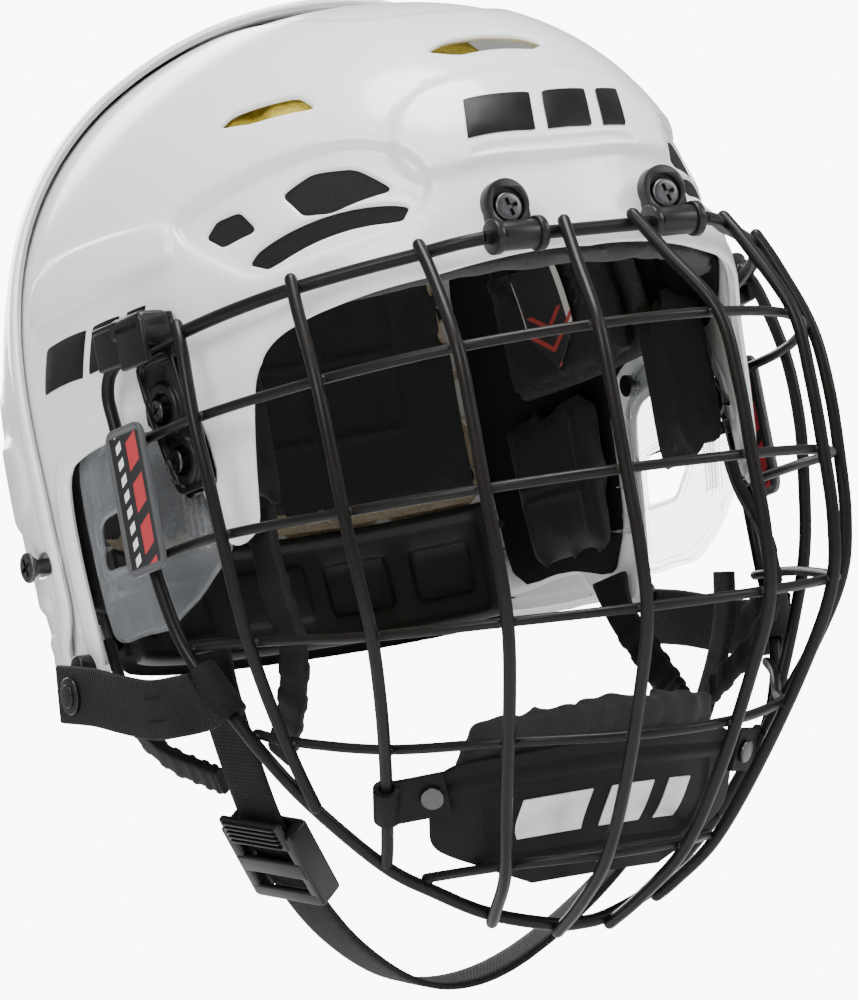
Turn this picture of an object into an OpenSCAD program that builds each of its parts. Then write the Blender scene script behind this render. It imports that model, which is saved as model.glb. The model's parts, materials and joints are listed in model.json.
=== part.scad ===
// Ice hockey helmet with a hinged wire face cage.
// Origin: centre of the head cavity. +Z up, the face looks along -Y, +X is the wearer's left.

/* [Shell] */
// Half of the shell's width at its widest level
shell_half_w = 102; // [101:0.5:103]
// From the widest point to the front of the shell
front_reach = 155; // [154:0.5:155]
// From the widest point to the back of the shell
rear_reach = 106; // [104:1:108]
// How far the widest point lies behind the head's centre
widest_y = 41; // [41:0.5:42]
// Height of the widest level above the head's centre
widest_z = 6; // [4:1:8]
// Height of the crown above the widest level
crown_h = 120; // [116:1:124]
// Thickness of the moulded shell wall
shell_t = 3; // [2.5:0.25:3.25]
// How far the back of the skirt tucks in under the head, as a part of its reach
nape_tuck = 0.12; // [0:0.02:0.16]

/* [Cage] */
// Radius of the upright wires
upright_r = 1.9; // [1.7:0.1:2]
// Radius of the cross wires
cross_r = 1.5; // [1.3:0.1:1.6]
// Radius of the frame wire and the brow bar
frame_r = 2; // [1.8:0.1:2]
// Half of the straight length of the brow bar, the hinge shaft
brow_bar_half = 37; // [36.5:0.5:38]
// Gap round the brow bar inside the clip barrels
barrel_gap = 0.06; // [0.03:0.01:0.09]

/* [Clips] */
// Distance of each brow clip from the middle
brow_clip_x = 26.5; // [26:0.5:27]
// Length of a brow clip's barrel
barrel_len = 17; // [14:1:18]
// Outer radius of a brow clip's barrel
barrel_r = 4.6; // [4:0.2:4.8]
// Width of a side clip's plate
side_clip_w = 18; // [15:1:18]

/* [Straps] */
// Width of the chin strap's webbing
chin_web_w = 17; // [14:1:18]
// Width of the cage straps' webbing
cage_web_w = 18; // [16:1:18]
// Thickness of all webbing
web_t = 2; // [1.6:0.1:2]

/* [Chin cup] */
// Half of the chin cup's width
cup_half_w = 52; // [50:1:53]
// Thickness of the chin cup's moulded shell
cup_t = 3; // [2.5:0.5:3]
// Thickness of the pad inside the chin cup
cup_pad_t = 11; // [9:1:12]

/* [Hidden] */
UPRIGHTS = [for (i = [1:8]) str("upright_", i)];
CROSS = [for (i = [1:5]) str("cross_wire_", i)];

$fn = 48;
plan_power = 2.2;          // roundness of the shell seen from above: 2 is an ellipse
side_power = 2.35;         // roundness of the shell seen from the side
skirt_depth = 190;         // how slowly the sides taper below the widest level
nape_depth = 80;           // height over which the back tucks in
dome_steps = 48;           // facets round the shell
dome_rows = 12;            // facets from the widest level to the crown
skirt_z = -68;             // lowest edge of the shell's side
lap_gap = 0.5;             // between the front shell and the rear shell over it
size_travel = 10;          // how far the rear shell slides back
size_slope = 6;            // the slide climbs a little, as the crown does
size_y = 72;               // place of the size screws
size_z = -28;
brow_y = -118;             // hinge line of the cage
brow_z = 25;
brow_screw_z = 33.5;
weld_sink = 0.6;           // how far crossing wires melt into each other
hair = 0.4;                // gap between neighbouring pieces

function spow(v, p) = sign(v) * pow(abs(v), p);
function unit(v) = v / norm(v);
function flip(p) = [-p[0], p[1], p[2]];
function level(z, d) =
    let (depth = z > widest_z ? crown_h + d : skirt_depth)
    pow(1 - pow(min(1, abs(z - widest_z) / depth), side_power), 1 / side_power);
function tuck(az, z) =
    cos(az) < 0 && z < widest_z ? 1 - nape_tuck * pow(cos(az) * (widest_z - z) / nape_depth, 2) : 1;

// A point of the shell's surface grown by d: az runs from the front (-Y) towards +X
function dome_pt(az, z, d) =
    let (k = level(z, d), reach = (cos(az) > 0 ? front_reach : rear_reach) + d)
    [(shell_half_w + d) * k * spow(sin(az), 2 / plan_power),
     widest_y - reach * tuck(az, z) * k * spow(cos(az), 2 / plan_power), z];

// Triangles of a grid of rows and columns; the outside is on the right-hand side
function grid_faces(rows, cols, from, turn) =
    [for (i = [0:rows - 2], j = [0:cols - 2], half = [0, 1])
        let (a = from + i * cols + j, b = a + 1, c = b + cols, d = a + cols,
             t = half == 0 ? [a, c, b] : [a, d, c])
        turn ? [t[0], t[2], t[1]] : t];

// A closed solid between two grids of points, A outside and B inside
module grid_solid(A, B) {
    rows = len(A);
    cols = len(A[0]);
    n = rows * cols;
    top = n - cols;
    edge = concat(
        [for (j = [0:cols - 2]) [j, j + 1, n + j + 1, n + j]],
        [for (j = [0:cols - 2]) [top + j + 1, top + j, n + top + j, n + top + j + 1]],
        [for (i = [0:rows - 2]) [(i + 1) * cols, i * cols, n + i * cols, n + (i + 1) * cols]],
        [for (i = [0:rows - 2]) let (e = i * cols + cols - 1) [e, e + cols, n + e + cols, n + e]]);
    polyhedron([for (r = A) each r, for (r = B) each r],
        concat(grid_faces(rows, cols, 0, false), grid_faces(rows, cols, n, true),
            [for (q = edge, half = [0, 1]) half == 0 ? [q[0], q[1], q[2]] : [q[0], q[2], q[3]]]));
}

// A solid dome: the shell's outer form grown by d, closed flat at z_low
module dome(d, z_low = skirt_z - 12) {
    low = [for (i = [0:4]) z_low + (widest_z - z_low) * i / 5];
    high = [for (i = [0:dome_rows - 1])
        widest_z + (crown_h + d) * pow(sin(88 * i / dome_rows), 2 / side_power)];
    heights = concat(low, high);
    rings = [for (z = heights) [for (j = [0:dome_steps - 1]) dome_pt(360 * j / dome_steps, z, d)]];
    rows = len(heights);
    last = (rows - 1) * dome_steps;
    polyhedron(
        concat([for (r = rings) each r], [[0, widest_y, widest_z + crown_h + d]]),
        concat([[for (j = [0:dome_steps - 1]) j]],
            [for (i = [0:rows - 2], j = [0:dome_steps - 1], half = [0, 1])
                let (a = i * dome_steps + j, b = i * dome_steps + (j + 1) % dome_steps)
                half == 0 ? [a, b + dome_steps, b] : [a, a + dome_steps, b + dome_steps]],
            [for (j = [0:dome_steps - 1]) [last + j, rows * dome_steps, last + (j + 1) % dome_steps]]));
}

// A curved block of the dome: from az0 to az1 and z0 to z1, between the depths d_out and d_in
module block(az0, az1, z0, z1, d_out, d_in, cols = 8, rows = 4) {
    grid = function (d) [for (i = [0:rows]) [for (j = [0:cols])
        dome_pt(az0 + (az1 - az0) * j / cols, z0 + (z1 - z0) * i / rows, d)]];
    grid_solid(grid(d_out), grid(d_in));
}

// A prism along X with the side outline given as [y, z] points
module side_prism(outline, x0 = -160, x1 = 160) {
    translate([x0, 0, 0]) rotate([90, 0, 90]) linear_extrude(x1 - x0) polygon(outline);
}

// A smooth curve through the points, k steps a span
function smooth(p, k) = let (n = len(p)) concat(
    [for (i = [0:n - 2], s = [0:k - 1])
        let (a = p[max(i - 1, 0)], b = p[i], c = p[i + 1], d = p[min(i + 2, n - 1)], t = s / k)
        b + (c - a) * t / 2 + (2 * a - 5 * b + 4 * c - d) * t * t / 2
            + (3 * b - a - 3 * c + d) * t * t * t / 2],
    [p[n - 1]]);

// A section swept along a path; faces lists the direction that the section's y side faces
module sweep(path, section, faces) {
    n = len(path);
    m = len(section);
    rings = [for (i = [0:n - 1])
        let (t = unit(path[min(i + 1, n - 1)] - path[max(i - 1, 0)]),
             f = faces[i],
             v = unit(f - (f * t) * t),
             u = cross(v, t))
        [for (s = section) path[i] + s[0] * u + s[1] * v]];
    polyhedron([for (r = rings) each r],
        concat([[for (j = [0:m - 1]) j]], [[for (j = [m - 1:-1:0]) (n - 1) * m + j]],
            [for (i = [0:n - 2], j = [0:m - 1], half = [0, 1])
                let (a = i * m + j, b = i * m + (j + 1) % m)
                half == 0 ? [a, b + m, b] : [a, a + m, b + m]]));
}

function round_section(r) = [for (a = [0:45:315]) r * [cos(a), sin(a)]];
function flat_section(w, t) = [[w / 2, -t / 2], [w / 2, t / 2], [-w / 2, t / 2], [-w / 2, -t / 2]];
wire_heart = [0, 0, -70];
module wire(path, r) {
    sweep(path, round_section(r), [for (p = path) p - wire_heart]);
}

// ---- shell ----

face_opening = [[-200, -300], [-200, 24], [-130, 23], [-72, 15.5], [-62, 12], [-56, 6], [-53, -4],
    [-47, -32], [-45, -38], [-41, -42], [-34, -44], [-30, -40], [-26, -18], [-22, -8], [-14, -3],
    [34, -3], [41, -6], [44, -14], [46, -56], [49, skirt_z], [49, -300]];
// The slotted vents of one side: a short high slot, a slanted window, a small window and a long low slot
module vents() {
    side_prism([[-66, 78.5], [-60, 83], [-42, 82.5], [-41, 80]], 30, 90);
    side_prism([[-66, 56], [-74, 58.5], [-83, 56.5], [-92, 48], [-80, 45.5], [-73, 47]], 30, 90);
    side_prism([[-58, 47], [-52, 53], [-45, 52], [-42, 48], [-47, 44.5]], 60, 100);
    side_prism([[-96, 41], [-95, 37.5], [-63, 34], [-58, 37], [-60, 38.5]], 30, 100);
}
// The arched vent over the forehead
module crown_vent() {
    translate([0, -79, 90]) rotate([42, 0, 0]) linear_extrude(40, center = true)
        polygon([[-20, -4], [-13, -4.5], [0, -2.5], [12, -3.5], [18, -2], [12, 1.5], [0, 3], [-12, 1]]);
}

module screw_holes(r) {
    for (s = [-1, 1]) {
        translate([s * brow_clip_x, -125, brow_screw_z]) rotate([-90, 0, 0]) cylinder(r = r, h = 25);
        for (p = side_screws) translate([s * 85, p[0], p[1]]) rotate([0, s * 90, 0]) cylinder(r = r, h = 20);
    }
}
side_screws = [[-21, 1], [-25, -15]];

module front_shell() color("white") difference() {
    dome(0);
    dome(-shell_t, skirt_z - 30);
    side_prism(face_opening);
    side_prism([[75, 200], [75, 0], [84, -14], [84, -44], [74, -64], [66, skirt_z], [66, -300],
        [300, -300], [300, 200]]);
    side_prism([[-200, skirt_z], [300, skirt_z], [300, -300], [-200, -300]]);
    for (s = [0, 1]) mirror([s, 0, 0]) vents();
    crown_vent();
    screw_holes(2.3);
    for (s = [-1, 1]) translate([s * 80, size_y, size_z]) rotate([0, s * 90, 0]) cylinder(r = 2.6, h = 35);
}

module size_slot(r) {
    for (s = [-1, 1]) hull() for (t = [0, size_travel])
        translate([s * 82, size_y - t * cos(size_slope), size_z - t * sin(size_slope)])
            rotate([0, s * 90, 0]) cylinder(r = r, h = 30, $fn = 24);
}
module rear_shell() color("white") difference() {
    dome(shell_t + lap_gap);
    dome(lap_gap, skirt_z - 30);
    side_prism([[-300, 300], [4, 300], [6, 126], [20, 119], [42, 105], [56, 84], [60, 62], [57, 20],
        [54, -10], [54, -42], [58, -50], [66, -56], [68, -64], [96, -64], [150, -58], [300, -58],
        [300, -300], [-300, -300]]);
    size_slot(3);
    for (s = [-1, 1]) translate([s * 70, 91, -30]) rotate([0, s * 90, 0])
        scale([1.4, 1, 1]) cylinder(r = 5.5, h = 40);
    for (z = [70, 40]) for (s = [-1, 1]) translate([s * 26, 110, z]) rotate([-90, 0, 0])
        linear_extrude(60) polygon([[-14, -3], [14, -3], [10, 3], [-10, 3]]);
}
module size_screws() color("dimgray") for (s = [-1, 1]) {
    head_x = dome_x(size_y - size_travel - 5, size_z + 5, shell_t + lap_gap) + 0.4;
    translate([s * 86, size_y, size_z]) rotate([0, s * 90, 0]) cylinder(r = 2.3, h = head_x - 85.5);
    translate([s * head_x, size_y, size_z]) rotate([0, s * 90, 0]) cylinder(r = 5, h = 1.6);
}

// ---- lining ----

foam_out = -shell_t - 1.8;
foam_in = -15;
soft_out = foam_in - 1;
soft_in = -21;

module brow_pad() color("dimgray") block(-52, 52, 17, 28, -shell_t - hair, foam_in, 14, 2);
module brow_liner() color("beige") block(-50, 50, 40, 58, foam_out, foam_in, 12, 2);
module upper_liner() color("beige") block(-86, 86, 59, 92, foam_out, foam_in, 20, 4);
module crown_pad() color("darkkhaki") intersection() {
    difference() {
        dome(foam_out);
        dome(foam_in, skirt_z - 30);
    }
    translate([-42, -30, 94]) cube([84, 96, 60]);
}
// The side pieces are drawn on the wearer's left (+X) and mirrored
module temple_pad() color("dimgray") difference() {
    block(56, 72, -33, 24, -shell_t - ear_t - 2 * hair, -18, 4, 4);
    for (p = side_screws) {
        translate([70, p[0], p[1]]) rotate([0, 90, 0]) cylinder(r = 2.6, h = 30);
        translate([dome_x(p[0], p[1], 0) - 7.4, p[0], p[1]]) rotate([0, 90, 0]) cylinder(r = 5.5, h = 20);
    }
}
module side_liner() color("goldenrod") block(74, 112, 7, 57, foam_out, foam_in, 8, 4);
module side_pad() color("black") block(75, 110, 9, 54, soft_out, soft_in, 8, 4);
module temple_pad_l() temple_pad();
module temple_pad_r() mirror([1, 0, 0]) temple_pad();
module side_liner_l() side_liner();
module side_liner_r() mirror([1, 0, 0]) side_liner();
module side_pad_l() side_pad();
module side_pad_r() mirror([1, 0, 0]) side_pad();
module ear_liner() color("black") difference() {
    block(94, 119, -49, 5, foam_out, foam_in, 6, 4);
    translate([70, size_y, size_z]) rotate([0, 90, 0]) cylinder(r = 3.4, h = 40);
}
module ear_liner_l() ear_liner();
module ear_liner_r() mirror([1, 0, 0]) ear_liner();
module rear_liner() color("beige") block(128, 232, -20, 92, foam_out, foam_in, 12, 7);
module rear_pad() color("black") block(130, 230, -18, 84, soft_out, soft_in, 14, 6);
module nape_cradle() color("black") block(122, 238, -60, -22, foam_in + 6, soft_in - 2, 14, 3);

// ---- ear guards ----

ear_outline = [[-28, 6], [-27, -12], [-34, -44], [-12, -55], [8, -61], [38, -60], [44, -56], [41, 6]];
ear_window = [[35, -22], [6, -21], [3, -28], [17, -38], [38, -37]];
ear_t = 2.4;
module ear_guard() color([0.75, 0.78, 0.8, 0.5]) difference() {
    intersection() {
        difference() {
            dome(-shell_t - hair, skirt_z);
            dome(-shell_t - hair - ear_t, skirt_z - 30);
        }
        side_prism(ear_outline, 60, 120);
    }
    side_prism(ear_window, 60, 120);
    for (p = ear_screws) translate([80, p[0], p[1]]) rotate([0, 90, 0]) cylinder(r = 2.2, h = 30);
    for (p = side_screws) translate([80, p[0], p[1]]) rotate([0, 90, 0]) cylinder(r = 5.6, h = 30);
}
ear_screws = [[-6, 1.5], [32, 1.5]];
module ear_guard_l() ear_guard();
module ear_guard_r() mirror([1, 0, 0]) ear_guard();
module ear_guard_screws() color("dimgray") for (s = [-1, 1], p = ear_screws) {
    edge_x = dome_x(p[0], p[1], 0);
    translate([s * (edge_x - shell_t - ear_t - 2.9), p[0], p[1]]) rotate([0, s * 90, 0]) {
        cylinder(r = 3.5, h = 1.4);
        cylinder(r = 1.8, h = ear_t + 2.2);
    }
}
// Half-width of the surface grown by d at a side position
function dome_x(y, z, d) =
    let (k = level(z, d), reach = (y < widest_y ? front_reach : rear_reach) + d)
    (shell_half_w + d) * k * pow(max(0, 1 - pow(abs(y - widest_y) / reach / k, plan_power)), 1 / plan_power);

// ---- clips ----

module brow_clip() color([0.08, 0.08, 0.09]) difference() {
    union() {
        translate([brow_clip_x - barrel_len / 2, brow_y, brow_z]) rotate([0, 90, 0])
            cylinder(r = barrel_r, h = barrel_len);
        for (e = [-1, 1]) translate([brow_clip_x + e * (barrel_len / 2 - 1.25) - 1.25, brow_y, brow_z])
            rotate([0, 90, 0]) cylinder(r = barrel_r + 0.6, h = 2.5);
        translate([brow_clip_x, brow_y + 5.2, brow_screw_z + 1.5]) rotate([90, 0, 0])
            cylinder(r = 7, h = 4.2);
        translate([brow_clip_x - 6, brow_y + 1, brow_z]) cube([12, 4.2, 9]);
    }
    translate([0, brow_y, brow_z]) rotate([0, 90, 0]) cylinder(r = frame_r + barrel_gap, h = 60);
    translate([brow_clip_x, brow_y - 5, brow_screw_z]) rotate([-90, 0, 0]) cylinder(r = 2.3, h = 20);
    translate([brow_clip_x, brow_y - 9, brow_screw_z + 0.6]) rotate([-90, 0, 0]) cylinder(r = 5.2, h = 11.5);
}
module brow_clip_l() brow_clip();
module brow_clip_r() mirror([1, 0, 0]) brow_clip();
module brow_clip_screws() color("dimgray") for (s = [-1, 1])
    translate([s * brow_clip_x, brow_y + 2.4, brow_screw_z]) rotate([-90, 0, 0]) {
        translate([0, 0, -1.8]) cylinder(r = 4.2, h = 1.8);
        cylinder(r = 2, h = 17.4);
    }

// The side clip: a screwed plate whose head hooks over the frame wire and lets it drop out downwards
clip_y = -22;
clip_turn = 10;
module side_clip() color([0.08, 0.08, 0.09]) difference() {
    translate([dome_x(clip_y, 0, 0) + 0.9, clip_y, 0]) rotate([0, 0, -clip_turn]) {
        rotate([8, 0, 0]) translate([0, -side_clip_w / 2, -24]) cube([2, side_clip_w, 46]);
        translate([-0.2, -side_clip_w / 2, 22.4]) cube([11.6, side_clip_w, 7.2]);
        translate([9.4, -side_clip_w / 2, 15]) cube([2, side_clip_w - 4, 9]);
    }
    for (p = side_screws) translate([85, p[0], p[1]]) rotate([0, 90, 0]) cylinder(r = 2.3, h = 30);
    dome(0.3);
}
module side_clip_l() side_clip();
module side_clip_r() mirror([1, 0, 0]) side_clip();
module side_clip_screws() color("dimgray") for (s = [-1, 1], p = side_screws) {
    top_x = dome_x(p[0], p[1], 0) + 3.8;
    translate([s * top_x, p[0], p[1]]) rotate([0, s * 90, 0]) cylinder(r = 3.2, h = 0.8);
    translate([s * (top_x - 9), p[0], p[1]]) rotate([0, s * 90, 0]) cylinder(r = 2, h = 9.1);
}
module clip_nuts() color("silver") for (s = [-1, 1]) {
    for (p = side_screws)
        translate([s * (dome_x(p[0], p[1], 0) - shell_t - 3), p[0], p[1]]) rotate([0, 90, 0]) difference() {
            cylinder(r = 5, h = 1);
            translate([0, 0, -1]) cylinder(r = 2.05, h = 4);
        }
    translate([s * brow_clip_x, brow_y + 16.4, brow_screw_z]) rotate([-90, 0, 0]) difference() {
        cylinder(r = 4, h = 2.4);
        translate([0, 0, -1]) cylinder(r = 2.05, h = 5);
    }
}

// ---- cage ----

// One half of the frame wire, from the brow bar's end down to the middle of the chin, on the +X side
frame_half = [[brow_bar_half, brow_y, brow_z], [44, -113, 24.9], [52, -104, 24.6], [66, -91, 24],
    [80, -76, 23], [91, -58, 21.5], [98, -39, 20], [102.5, -20, 19], [104.6, -8, 17.5], [105, -2, 11],
    [105, -3, 0], [104.8, -6, -20], [104, -9, -42], [101.5, -13, -66], [97, -21, -84], [89, -28, -104],
    [78, -31, -121], [58, -30, -141], [44, -32, -151], [29, -35, -160], [10, -37, -166], [0, -37, -167]];
module brow_bar() color([0.1, 0.09, 0.08]) translate([-brow_bar_half, brow_y, brow_z]) rotate([0, 90, 0])
    cylinder(r = frame_r, h = 2 * brow_bar_half);
module frame_wire() color([0.1, 0.09, 0.08]) {
    half = smooth(frame_half, 2);
    n = len(half);
    wire(concat([[brow_bar_half - 0.01, brow_y, brow_z]], [for (i = [1:n - 1]) half[i]],
        [for (i = [n - 2:-1:1]) flip(half[i])], [[0.01 - brow_bar_half, brow_y, brow_z]]), frame_r);
}

// The four uprights of the +X side, outermost first, from the brow down
upright_half = [
    [[98.2, -40, 22.6], [100, -44, 14], [102.3, -48, -6], [102, -49.5, -25], [100.6, -48.5, -42],
     [97.5, -45.5, -66], [92, -41, -86], [84, -36, -108], [78.5, -33.6, -121.5]],
    [[79.7, -79, 25.6], [82, -84, 14], [84.5, -91.5, -6], [85, -93.5, -25], [84.5, -93, -44],
     [83, -92, -64], [80, -88, -81], [74, -75, -99], [67, -58, -116], [60.5, -40, -133.5],
     [58, -32, -140.5]],
    [[51.7, -106, 27], [53.5, -114, 15], [56.5, -125, -6], [57, -126.5, -26], [57, -126, -47],
     [56.3, -125, -68], [54.5, -120, -87], [50, -105, -107], [43, -81, -132], [36, -61, -150.5],
     [31, -43, -159.5], [28.6, -35, -162.6]],
    [[11.6, -120.6, 27.4], [15, -129, 14], [20, -142, -6.4], [21, -144, -27], [21, -143.5, -48],
     [21, -143, -70], [20.5, -139, -90], [18.5, -124, -110], [16, -103, -133], [13.5, -80, -152.5],
     [10.8, -56, -163], [9, -38, -168.6]]];
module upright(i) color([0.1, 0.09, 0.08]) {
    right = i <= 4;
    half = upright_half[right ? i - 1 : 8 - i];
    path = smooth(half, 3);
    wire(right ? [for (p = path) flip(p)] : path, upright_r);
}

// Where each cross wire meets the frame and the uprights, outermost first; it lies just inside them
cross_half = [
    [[104.9, -4, -6], [102.3, -48, -6], [84.5, -91.5, -6], [56.5, -125, -6.2], [20, -142, -6.4]],
    [[104, -9, -40], [100.7, -48.5, -41], [84.5, -93, -44.5], [57, -126, -47], [21, -143.5, -48.3]],
    [[101, -14, -69], [96, -44.5, -72.5], [80.3, -88.5, -80], [55, -121.5, -84.5], [20.6, -140, -87.3]],
    [[91.5, -26, -98], [86, -37.5, -103], [69, -63, -111.5], [47.5, -96, -117], [17.4, -114.5, -121.6]],
    [[47, -32, -149], [36, -61, -150.6], [13.5, -80, -152.7]]];
cross_in = upright_r + cross_r - weld_sink;
module cross_wire(i) color([0.1, 0.09, 0.08]) {
    half = [for (p = cross_half[i - 1]) p - cross_in * unit([p[0], p[1] + 15, i > 3 ? p[2] + 70 : 0])];
    n = len(half);
    wire(smooth(concat(half, [for (k = [n - 1:-1:0]) flip(half[k])]), 3), cross_r);
}

module badge_plate() color([0.25, 0.25, 0.27]) translate([107.7, -13, -23]) rotate([0, 0, -3])
    rotate([0, 90, 0]) linear_extrude(1.6, center = true) hull() for (a = [-1, 1], b = [-1, 1])
        translate([a * 17.5, b * 6.5]) circle(r = 4.5, $fn = 32);
module badge_plate_l() badge_plate();
module badge_plate_r() mirror([1, 0, 0]) badge_plate();

// ---- chin cup ----

// The cup's side profile at the middle, as [y, z], from its top edge to the scoop under the chin
cup_profile = [[-81, -110], [-78.5, -117], [-75, -124], [-70.5, -132], [-65.5, -140], [-60, -147.5],
    [-54, -154]];
cup_sweep = 20;
cup_taper = [0.97, 1, 1, 1, 0.95, 0.7, 0.42];
// The cup's surface grown inwards by d, on half_w to each side of the middle
function cup_grid(d, half_w) = [for (i = [len(cup_profile) - 1:-1:0]) [for (j = [0:12])
    let (w = half_w * cup_taper[i] * (j - 6) / 6, p = cup_profile[i],
         q = unit(cup_profile[min(i + 1, 6)] - cup_profile[max(i - 1, 0)]))
    [w, p[0] - q[1] * d + cup_sweep * pow(w / cup_half_w, 2), p[1] + q[0] * d]]];
module chin_cup() color([0.07, 0.07, 0.08]) difference() {
    grid_solid(cup_grid(0, cup_half_w), cup_grid(cup_t, cup_half_w));
    for (s = [-1, 1]) place_tab(s) translate([-13.5, -10, 0]) rotate([-90, 0, 0]) cylinder(r = 2.2, h = 20);
}
module chin_pad() color([0.06, 0.06, 0.06])
    grid_solid(cup_grid(cup_t + 0.3, cup_half_w - 11), cup_grid(cup_t + cup_pad_t, cup_half_w - 11));
// The frame of a chin tab: on the upright beside the cup, its X along the cup's end
tab_at = [63.9, -49.4, -124.7];
module place_tab(s) mirror([s < 0 ? 1 : 0, 0, 0]) translate(tab_at) rotate([0, 0, 35]) rotate([28, 0, 0])
    children();
module tab_barrel(r, h) translate(tab_at) rotate([0, 132.5, 110]) cylinder(r = r, h = h, center = true);
module chin_tab() color([0.07, 0.07, 0.08]) difference() {
    union() {
        tab_barrel(4, 12);
        place_tab(1) translate([-18, -1.4, -6.5]) cube([18, 2, 13]);
    }
    tab_barrel(2.3, 40);
    place_tab(1) translate([-13.5, -10, 0]) rotate([-90, 0, 0]) cylinder(r = 2.2, h = 20);
}
module chin_tab_l() chin_tab();
module chin_tab_r() mirror([1, 0, 0]) chin_tab();
module chin_rivets() color("dimgray") for (s = [-1, 1]) place_tab(s) translate([-13.5, -3.2, 0])
    rotate([-90, 0, 0]) {
        cylinder(r = 3.4, h = 1.5);
        cylinder(r = 1.9, h = 9.6);
        translate([0, 0, 9.4]) cylinder(r = 3.2, h = 1.2);
    }

// ---- chin harness ----

module webbing(points, w, t, heart, k = 3) {
    path = smooth(points, k);
    sweep(path, flat_section(w, t), [for (q = path) q - heart]);
}
chin_half = [[90.5, -9, -66], [88.5, -6, -82], [83, 0, -100], [74, 9, -121], [60, 21, -141], [42, 33, -158],
    [20, 43, -171], [0, 46, -175]];
module chin_strap() color([0.06, 0.06, 0.07])
    webbing(concat(chin_half, [for (i = [6:-1:0]) flip(chin_half[i])]), chin_web_w, web_t, [0, 10, -40], 2);
// The buckle is two bars and two side rails round the webbing, below the wearer's right ear
buckle_at = [-67.3, 15.1, -131];
module chin_buckle() color([0.08, 0.08, 0.09]) translate(buckle_at) multmatrix(buckle_frame) difference() {
    union() {
        translate([-14, -14, -4.6]) cube([28, 28, 9.2]);
        translate([-12, 10, 2.8]) cube([24, 9, 3.6]);
    }
    translate([-chin_web_w / 2 - 0.8, -30, -web_t / 2 - 1.6]) cube([chin_web_w + 1.6, 60, web_t + 3.2]);
    for (y = [-9, 3]) translate([-chin_web_w / 2 - 0.7, y, 0]) cube([chin_web_w + 1.6, 6, 10]);
}
buckle_along = unit([-74, 9, -121] - [-60, 21, -141]);
buckle_out = unit(let (f = buckle_at - [0, 10, -40]) f - (f * buckle_along) * buckle_along);
buckle_side = cross(buckle_along, buckle_out);
buckle_frame = [
    [buckle_side[0], buckle_along[0], buckle_out[0], 0],
    [buckle_side[1], buckle_along[1], buckle_out[1], 0],
    [buckle_side[2], buckle_along[2], buckle_out[2], 0],
    [0, 0, 0, 1]];

// Moulded legs of the harness: one from the shell's front corner and one from behind the ear
front_leg_path = [[81.6, -38, -34], [82.4, -39.5, -45], [84.4, -45, -60], [83.5, -47, -76], [81, -36, -90],
    [77, -20, -99], [75, -12, -103]];
rear_leg_path = [[89.6, 57, -56], [89.8, 54.5, -68], [91.6, 46, -83], [89, 33, -95], [84.6, 22, -102],
    [81.8, 15, -106]];
module front_leg() color([0.07, 0.07, 0.08]) webbing(front_leg_path, 9, 3, [0, 0, -70]);
module rear_leg() color([0.07, 0.07, 0.08]) webbing(rear_leg_path, 10, 3, [0, 0, -60]);
module front_leg_l() front_leg();
module front_leg_r() mirror([1, 0, 0]) front_leg();
module rear_leg_l() rear_leg();
module rear_leg_r() mirror([1, 0, 0]) rear_leg();

// ---- cage straps ----

stud_y = 56;
stud_z = -62.5;
module strap_studs() color([0.08, 0.08, 0.09]) for (s = [-1, 1]) {
    x0 = dome_x(stud_y, stud_z, 0) + 0.1;
    translate([s * x0, stud_y, stud_z]) rotate([0, s * 90, 0]) cylinder(r = 4, h = 103.2 - x0);
}
// The loop lies square to the frame wire, which leans; loop_out and loop_back span its plane
loop_at = [97.2, -20.6, -83.4];
loop_down = unit([-6.2, -7.4, -19]);
loop_back = unit(cross([1, 0, 0], loop_down));
loop_out = cross(loop_down, loop_back);
loop_r = 4.1;
loop_turn = [[-1, 2.6], [-1, 1.2], [-0.97, 0.1], [-0.75, -0.7], [0, -1.02], [0.85, -0.7], [1.25, 0.1]];
strap_path = concat([for (q = loop_turn) loop_at + loop_r * (q[0] * loop_out + q[1] * loop_back)],
    [[104.4, -9, -84.5], [105.2, 6, -83], [105.3, 24, -78.5], [105, 44, -73], [104.8, 66, -68.5]]);
strap_faces = concat([for (q = loop_turn) q[0] * loop_out + min(0, q[1]) * loop_back],
    [for (i = [1:5]) [1, 0, 0]]);
module cage_strap() color([0.05, 0.05, 0.06])
    sweep(smooth(strap_path, 3), flat_section(cage_web_w, web_t), smooth(strap_faces, 3));
module cage_strap_l() cage_strap();
module cage_strap_r() mirror([1, 0, 0]) cage_strap();

front_shell();
rear_shell();
size_screws();
brow_pad();
brow_liner();
upper_liner();
crown_pad();
temple_pad_r();
temple_pad_l();
side_liner_r();
side_liner_l();
side_pad_r();
side_pad_l();
ear_liner_r();
ear_liner_l();
rear_liner();
rear_pad();
nape_cradle();
ear_guard_r();
ear_guard_l();
ear_guard_screws();
brow_clip_r();
brow_clip_l();
brow_clip_screws();
side_clip_r();
side_clip_l();
side_clip_screws();
clip_nuts();
brow_bar();
frame_wire();
for (i = [1:8]) upright(i);
for (i = [1:5]) cross_wire(i);
badge_plate_r();
badge_plate_l();
chin_cup();
chin_pad();
chin_tab_r();
chin_tab_l();
chin_rivets();
front_leg_r();
front_leg_l();
rear_leg_r();
rear_leg_l();
chin_strap();
chin_buckle();
strap_studs();
cage_strap_r();
cage_strap_l();
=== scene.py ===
import json
import math

import bmesh
import bpy
import numpy as np
from mathutils import Matrix, Vector, geometry, kdtree

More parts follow.
